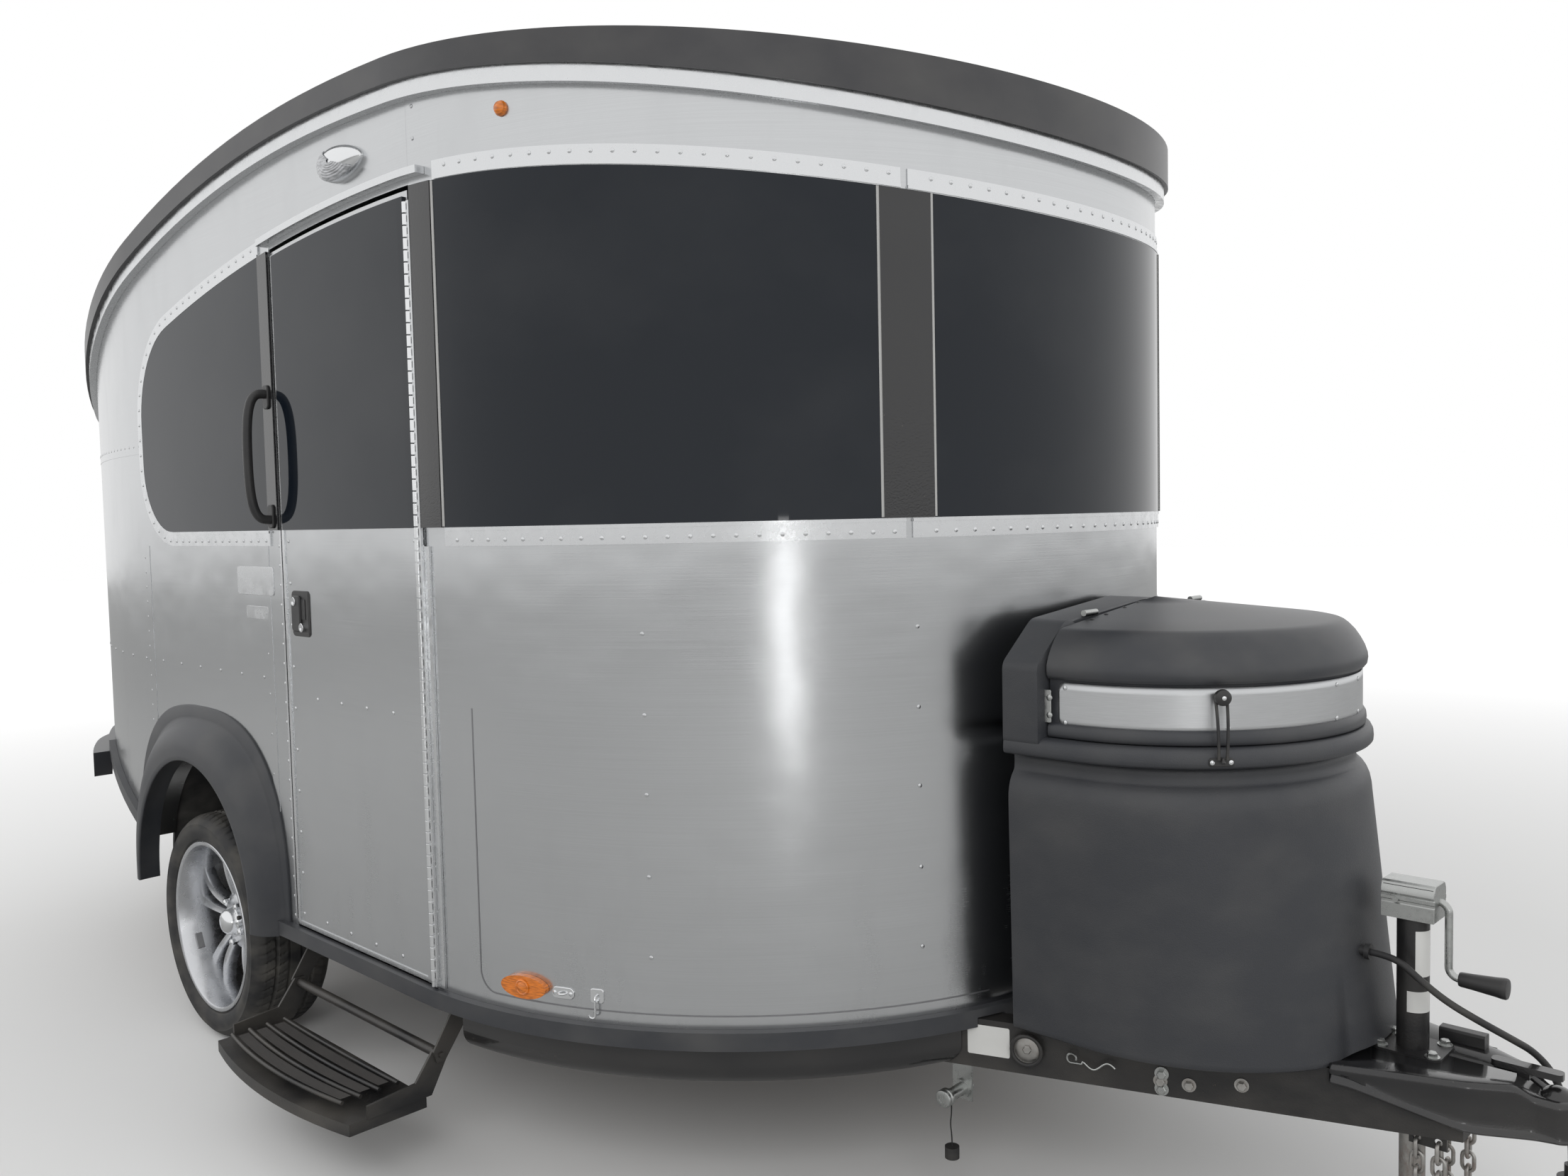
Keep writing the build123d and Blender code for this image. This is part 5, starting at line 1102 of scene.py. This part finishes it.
# the lip at the foot: share of its flare, height above the lower edge
for share, above in ((0, 0.0120), (0.15, 0.0070), (0.5, 0.0030), (1, 0)):
    lip = plan + plan_out * (flare * share)[:, None]
    side_rows.append(np.concatenate([lip, (low_z + above)[:, None]], 1))
piece("coupler_channel", surface(np.stack(side_rows)), coupler_paint, smooth=50,
      replaces=["coupler"], wall=0.004)
housing = 0.0345
quarter_turn = np.radians(np.linspace(0, 90, 16))
section = [(0.0265, 0.006), (0.0265, -0.050), (0.0330, -0.0515), (0.0355, -0.0535), (0.0385, -0.0535),
           (0.0370, -0.0480), (0.0350, -0.0440), (housing, -0.020)]
section += [(housing * np.cos(a), housing * np.sin(a)) for a in quarter_turn]
piece("ball_housing", lathe(section, 48), coupler_paint, smooth=50)
jack_x, jack_head = -0.241, 0.683 - ball_height
half_profile = [(0.034, -0.001), (0.034, 0.026), (0.0325, 0.028), (0.0325, 0.032), (0.035, 0.034),
                (0.035, 0.040), (0.0325, 0.042), (0.034, 0.046), (0.033, 0.056), (0.029, 0.0645),
                (0.024, 0.0675)]
head_ring = np.array(half_profile + [(-y, z) for y, z in half_profile[::-1]])
head = stamp(slab(head_ring, 0.094, 0.0015), (jack_x - 0.047, 0, jack_head), forward_face)
pin = tube([(jack_x - 0.02, y, jack_head + 0.034) for y in (-0.040, 0.040)], 0.005)
piece("jack_head_cover", join(head, pin), zinc, smooth=25)
flange_top = 0.4336 - ball_height
flange_bolts = [(jack_x + sx * 0.046, sy * 0.037, flange_top) for sx in (-1, 1) for sy in (-1, 1)]
piece("jack_bolts", stamp(bolt, flange_bolts, np.eye(3)), zinc)
crank_top, crank_low, bend_reach = 0.717 - ball_height, 0.579 - ball_height, 0.019
grip = lathe([(0, -0.002), (0.0125, -0.002), (0.0135, 0.001), (0.0145, 0.02), (0.0178, 0.06),
              (0.0192, 0.070), (0.0192, 0.076), (0.0175, 0.0785), (0.010, 0.0795), (0, 0.0795)], 32)
grip_turn = frames((1, 0, 0), (0, 0, 1))
piece("crank_grip", stamp(grip, (-0.158, 0, crank_low), grip_turn), satin_black,
      "jack_crank")
crank_path = np.concatenate([
    [(-0.207, 0, crank_top)],
    arc((-0.179 - bend_reach, 0, crank_top - bend_reach), (0, 0, 1), (1, 0, 0), bend_reach, 0, 90, 10),
    arc((-0.179 + bend_reach, 0, crank_low + bend_reach), (-1, 0, 0), (0, 0, -1), bend_reach, 0, 90, 10),
    [(-0.150, 0, crank_low)],
])
piece("crank_rod", tube(crank_path, 0.007, 16), zinc, "jack_crank", replaces=["jack_crank"])
blank = moulded_look("blank_label", (0.66, 0.66, 0.64), 0.4, 0.12)
label_reach = 0.0289
labels = []
for low, high, start in ((0.573, 0.660, -65), (0.505, 0.545, -93)):
    turn = np.radians(np.linspace(start, 5, 14))
    z = np.array([low, high])[:, None] - ball_height
    x, y = jack_x + label_reach * np.cos(turn), label_reach * np.sin(turn)
    labels.append(surface(np.stack(np.broadcast_arrays(x[None], y[None], z), -1)))
rail_out = np.array((math.sin(rail_slope), -math.cos(rail_slope), 0))
rail_run = np.array((-math.cos(rail_slope), -math.sin(rail_slope), 0))


def on_rail(x, z, proud=0.0):
    """Place on the outer face of the curb-side tongue rail."""
    y = -0.09165 - (rail_start - x) * math.tan(rail_slope)
    return np.array((x, y, z)) + rail_out * proud


rail_face = frames(rail_out, rail_run)
labels.append(stamp(plate(0.088, 0.062, 0.0006, 0.004), on_rail(-0.936, -0.016), rail_face))
piece("blank_labels", join(*labels), blank)


# Ring, pin and bolts on the curb-side rail
# A folding tie-down ring on one bolt, a spring clip through the rail's bracket, and the bolts of
# the cover's tray.
ring_spot = on_rail(-0.860, -0.020, 0.012)
washer_big = lathe([(0.030, 0), (0.030, 0.003), (0.024, 0.005), (0, 0.005)], 32)
ring_path = arc(ring_spot, rail_run, (0, 0, 1), 0.030, 0, 360, 41)[:-1]
piece("tie_ring", tube(ring_path, 0.0045, 10, True), frame_paint)
tray_bolts = stamp(bolt, [on_rail(x, z) for x, z in (
    (-0.616, -0.045), (-0.566, -0.045), (-0.476, -0.030), (-0.860, -0.020))], rail_face)
ring_washer = stamp(washer_big, ring_spot - rail_out * 0.012, rail_face)
piece("tray_bolts", join(tray_bolts, ring_washer), old_steel)
clip_start = on_rail(-0.775, -0.030, 0.012)
share = np.linspace(0, 1, 40)
sway = 0.008 * np.sin(share * 3 * np.pi) * (share > 0.25)
clip_path = clip_start - rail_run * 0.085 * share[:, None] - down * sway[:, None]
eye_path = arc(clip_start - down * 0.009, rail_run, -down, 0.009, -90, 200, 24)
clip = tube(np.concatenate([eye_path[::-1], clip_path[1:]]), 0.0021, 8)
piece("spring_clip", clip, zinc)


# Safety chains
# Two loops of welded steel links hang from plates under the tongue rails, rusty where they rub.
link_inner, link_bar = (0.030, 0.013), 0.008
straight = (link_inner[0] - link_inner[1]) / 2
corner = math.tan(math.radians(22.5)) * link_inner[1] / 2


def link_reach(off):
    """How far the hole in a link goes beyond its straight part, at a distance from its middle line."""
    return link_inner[1] / 2 - max(0, off - corner)


seat = 0.0003
crossing = link_reach(link_bar / 2)
pitch = 2 * (straight + crossing) - seat
strand = (straight + crossing + link_inner[0] / 2 + link_bar) / 2
bottom_half = strand - straight - crossing + seat
bottom_rise = straight - link_bar / 2 + link_reach(bottom_half)
chain_x = -0.186
chain_y = 0.065 + (rail_start - chain_x) * math.tan(rail_slope)
top_link = 0.300 - ball_height - math.sqrt(0.007 ** 2 - 0.004 ** 2) + seat - straight - link_reach(0.0025)
half_turn = np.radians(np.linspace(-90, 90, 9))
bend = link_inner[1] / 2 + link_bar / 2
oval = np.concatenate([
    np.stack([straight + bend * np.cos(half_turn), bend * np.sin(half_turn), 0 * half_turn], 1),
    np.stack([-straight - bend * np.cos(half_turn), -bend * np.sin(half_turn), 0 * half_turn], 1),
])
link = tube(oval, 0.0037, 8, True)
lowest = top_link - 5 * pitch - bottom_rise
chain = []
for side in (-1, 1):
    for end in (-1, 1):
        for k in range(6):
            place = (chain_x + end * strand, side * chain_y, top_link - k * pitch)
            normal = (1, 0, 0) if k % 2 == 0 else (0, 1, 0)
            chain.append(stamp(link, place, frames(normal, (0, 0, 1))))
    chain.append(stamp(link, (chain_x, side * chain_y, lowest), frames((0, 0, 1), (1, 0, 0))))
piece("chain_links", join(*chain), old_steel, replaces=["safety_chains"])


# Trailer cable
# One black rubber cable comes out of a gland in the cover's nose, sags past the jack and over
# the coupler, and hangs down on its street side to its plug.
def route(points):
    """Points in metres from X, Y and height above the ground in millimetres."""
    return [(x / 1000, y / 1000, height / 1000 - ball_height) for x, y, height in points]


def cord_curve(name, points, diameter):
    """Round rubber cord whose middle line is a smooth spline steered by these points."""
    curve = bpy.data.curves.new(name, "CURVE")
    curve.dimensions = "3D"
    curve.resolution_u = 12
    curve.bevel_depth = diameter / 2
    curve.bevel_resolution = 4
    curve.use_fill_caps = True
    spline = curve.splines.new("NURBS")
    spline.points.add(len(points) - 1)
    spline.points.foreach_set("co", [c for point in points for c in (*point, 1.0)])
    spline.order_u = 3
    spline.use_endpoint_u = True
    curve.materials.append(black_rubber)
    made = bpy.data.objects.new(name, curve)
    bpy.context.scene.collection.objects.link(made)
    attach(made, "caravan")
    return made


cable_route = route([
    (-296, -62, 616), (-252, -62, 616), (-212, -66, 587), (-163, -66, 555), (-112, -50, 527),
    (-72, -14, 496), (-42, 34, 462), (-20, 76, 410), (-10, 101, 350), (0, 110, 288), (0, 110, 240),
])
cable = cord_curve("cable", cable_route, 0.013)
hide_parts("trailer_cable")
dress(satin_black, "cable_plug")
ribs = lathe([(0.0242, 0), (0.0256, 0.002), (0.0256, 0.005), (0.0242, 0.007)], 36)
rib_places = [(0, 0.110, 0.208 - ball_height - k * 0.0105) for k in range(5)]
plug_grips = piece("plug_ribs", stamp(ribs, rib_places, frames(down, (1, 0, 0))), satin_black)


# Gas outlet
# A zinc-plated quick coupling under the curb-side rail. Its rubber dust cap hangs on a short cord.
dress(zinc, "gas_port")
dress(black_rubber, "lanyard_cap")
lanyard_route = route([
    (-996, -440, 241), (-996, -440, 221), (-998, -443, 198), (-997, -439, 174), (-997, -439, 150),
])
lanyard = cord_curve("cap_cord", lanyard_route, 0.003)
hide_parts("lanyard")
sleeve = lathe([(0.0175, 0), (0.0185, 0.001), (0.0185, 0.006), (0.0170, 0.008), (0.0185, 0.010),
                (0.0185, 0.015), (0.0172, 0.0175), (0.0135, 0.0185), (0.0095, 0.0185), (0.0095, 0.006),
                (0, 0.006)], 32)
sleeve_place = (-0.996, -0.453, 0.260 - ball_height)
piece("gas_coupling", stamp(sleeve, sleeve_place, curb_face), zinc)
dress(moulded_look("bottle_paint", (0.60, 0.60, 0.58), 0.3, 0.1), "gas_bottles")


# Entry step
# A black painted steel tread on two ears, folded up under the sill to travel. Four ribs pressed up
# along it follow its bowed nose, with bands of abrasive tape between them.
dress(frame_paint, "entry_step")
tread_top = 0.226 - ball_height


def tread_line(share, above, start=-2.545, end=-1.990):
    """Line along the tread at a share of its depth, bowed with its nose."""
    x = np.linspace(start, end, 30)
    depth = 0.165 + 0.038 * (1 - ((x + 2.268) / 0.332) ** 2)
    return np.stack([x, -1.108 - share * depth, np.full(30, tread_top + above)], 1)


tread_ribs = [tube(tread_line(share, 0), 0.0045, 10) for share in (0.17, 0.42, 0.67, 0.91)]
piece("step_ribs", join(*tread_ribs), frame_paint, "step")
tape_look = rubber_look("abrasive_tape", (0.045, 0.042, 0.040), 0.7, 0.1)
tapes = [surface(np.stack([tread_line(edge, 0.0006, -2.525, -2.010) for edge in (share, share + 0.14)]))
         for share in (0.225, 0.475, 0.72)]
piece("step_tape", join(*tapes), tape_look, "step")


# Small fittings on the front panel
# A chromed wire loop on an oblong plate holds the awning's strap, and a hook hangs from an eye
# beside it.
loop_spot, loop_out, loop_along = on_wall(nose_length(68.1), 0.491)
loop_turn = frames(loop_out, loop_along)
loop_plate = stamp(plate(0.052, 0.024, 0.0025, 0.010), loop_spot, loop_turn)
loop_screws = stamp(dome, loop_spot + loop_out * 0.0025 + np.outer((-0.019, 0.019), loop_along), loop_turn)
wire = tube(arc(loop_spot + loop_out * 0.002, loop_along, loop_out, 0.009, 0, 180, 16), 0.0022, 8)
hook_spot, hook_out, hook_along = on_wall(nose_length(63.9), 0.493)
hook_turn = frames(hook_out, hook_along)
hook_plate = stamp(plate(0.030, 0.030, 0.0025, 0.006), hook_spot, hook_turn)
eye_path = arc(hook_spot + hook_out * 0.006 + down * 0.004, hook_out, down, 0.006, 0, 360, 19)[:-1]
eye_ring = tube(eye_path, 0.0018, 8, True)
shank = np.stack([hook_spot + hook_out * 0.011 + down * (0.008 + 0.004 * k) for k in range(8)])
tip = arc(shank[-1] + hook_along * 0.007, -hook_along, down, 0.007, 0, 170, 14)
hook = tube(np.concatenate([shank, tip[1:]]), 0.0022, 8)
piece("front_fittings", join(loop_plate, loop_screws, wire, hook_plate, eye_ring, hook), chrome)


# Camera
# The photograph's viewpoint: eye height 1.46 m, close to the nose on the curb side.
# Its focal length is given in pixels of the 2212 wide picture.
def put(made, right, upward, back, place):
    """Adds a camera or lamp at a place, turned by its right, upward and backward directions."""
    bpy.context.scene.collection.objects.link(made)
    made.matrix_world = [[*map(float, right), 0], [*map(float, upward), 0], [*map(float, back), 0],
                         [*map(float, place), 1]]


photo_width = 2212
focal_pixels = 1806.83
eye = (0.5613, -2.5199, 1.0704)
yaw, pitch, roll = (math.radians(a) for a in (43.95, -3.26, -1.26))
camera = bpy.data.objects.new("camera", bpy.data.cameras.new("camera"))
camera.data.sensor_fit = "HORIZONTAL"
camera.data.sensor_width = 36
camera.data.lens = camera.data.sensor_width * focal_pixels / photo_width
camera.data.clip_end = 200
forward = np.array((-math.sin(yaw) * math.cos(pitch), math.cos(yaw) * math.cos(pitch), math.sin(pitch)))
level = np.array((math.cos(yaw), math.sin(yaw), 0))
square = np.cross(level, forward)
right = math.cos(roll) * level + math.sin(roll) * square
upward = math.cos(roll) * square - math.sin(roll) * level
put(camera, right, upward, -forward, eye)
bpy.context.scene.camera = camera


# Studio
# A pale floor fades to white far off. The surrounding is plain, and white only to the camera and in
# what mirrors it or lets it through. Three large soft panels of light stand round the caravan, and
# a narrow one draws the bright line down its nose.
floor_reach = 40.0
floor_mesh = bpy.data.meshes.new("floor")
floor_corners = [(x, y, ground) for x, y in (
    (-floor_reach, -floor_reach), (floor_reach, -floor_reach), (floor_reach, floor_reach),
    (-floor_reach, floor_reach))]
floor_mesh.from_pydata(floor_corners, [], [(0, 1, 2, 3)])
floor = bpy.data.objects.new("studio_floor", floor_mesh)
bpy.context.scene.collection.objects.link(floor)
floor_look = Look("studio_floor")
from_caravan = floor_look.node("ShaderNodeVectorMath", {"operation": "DISTANCE"},
                               {0: floor_look.place(), 1: (-2.2, 0.0, ground)}, 1)
seen_floor = floor_look.node("ShaderNodeLightPath", output="Is Camera Ray")
far_off = floor_look.between(from_caravan, 2.8, 9.0) * seen_floor
pale = floor_look.mix(seen_floor, (0.46, 0.46, 0.455), (0.80, 0.80, 0.795))
floor_mesh.materials.append(floor_look.finish({
    "Base Color": floor_look.mix(far_off, pale, (0, 0, 0)),
    "Emission Color": floor_look.mix(far_off, (0, 0, 0), (1, 1, 1)),
    "Emission Strength": 1.0,
    "Roughness": 0.85,
}))

sky = Look("studio", bpy.data.worlds.new("studio"))
bpy.context.scene.world = sky.material
seen, mirrored, through = (sky.node("ShaderNodeLightPath", output=f"Is {kind} Ray")
                           for kind in ("Camera", "Glossy", "Transmission"))
background = sky.tree.nodes["Background"]
sky.feed(background.inputs["Color"], (1, 1, 1))
sky.feed(background.inputs["Strength"], sky.between(seen + mirrored + through, 0.0, 1.0, 0.7, 1.0))

for name, place, aim, size, power, reflected in (
    ("key_light", (4.5, -6.5, 5.5), (-1.5, -0.6, 0.6), (5.0, 5.0), 300, False),
    ("fill_light", (7.0, 3.0, 4.0), (-1.0, 0.0, 0.5), (4.0, 4.0), 110, False),
    ("rear_light", (-8.0, -6.0, 5.0), (-3.0, -0.8, 0.6), (5.0, 5.0), 160, False),
    ("strip_light", (3.5, -4.4, 0.35), (-1.17, -0.71, 0.35), (0.3, 1.4), 7, True),
):
    lamp = bpy.data.lights.new(name, "AREA")
    lamp.shape = "RECTANGLE"
    lamp.size, lamp.size_y = size
    lamp.energy = power
    light = bpy.data.objects.new(name, lamp)
    light.visible_glossy = reflected
    away = unit(np.subtract(place, aim))
    sideways = unit(np.cross((0, 0, 1), away))
    put(light, sideways, np.cross(away, sideways), away, place)

bpy.context.scene.view_settings.view_transform = "Standard"
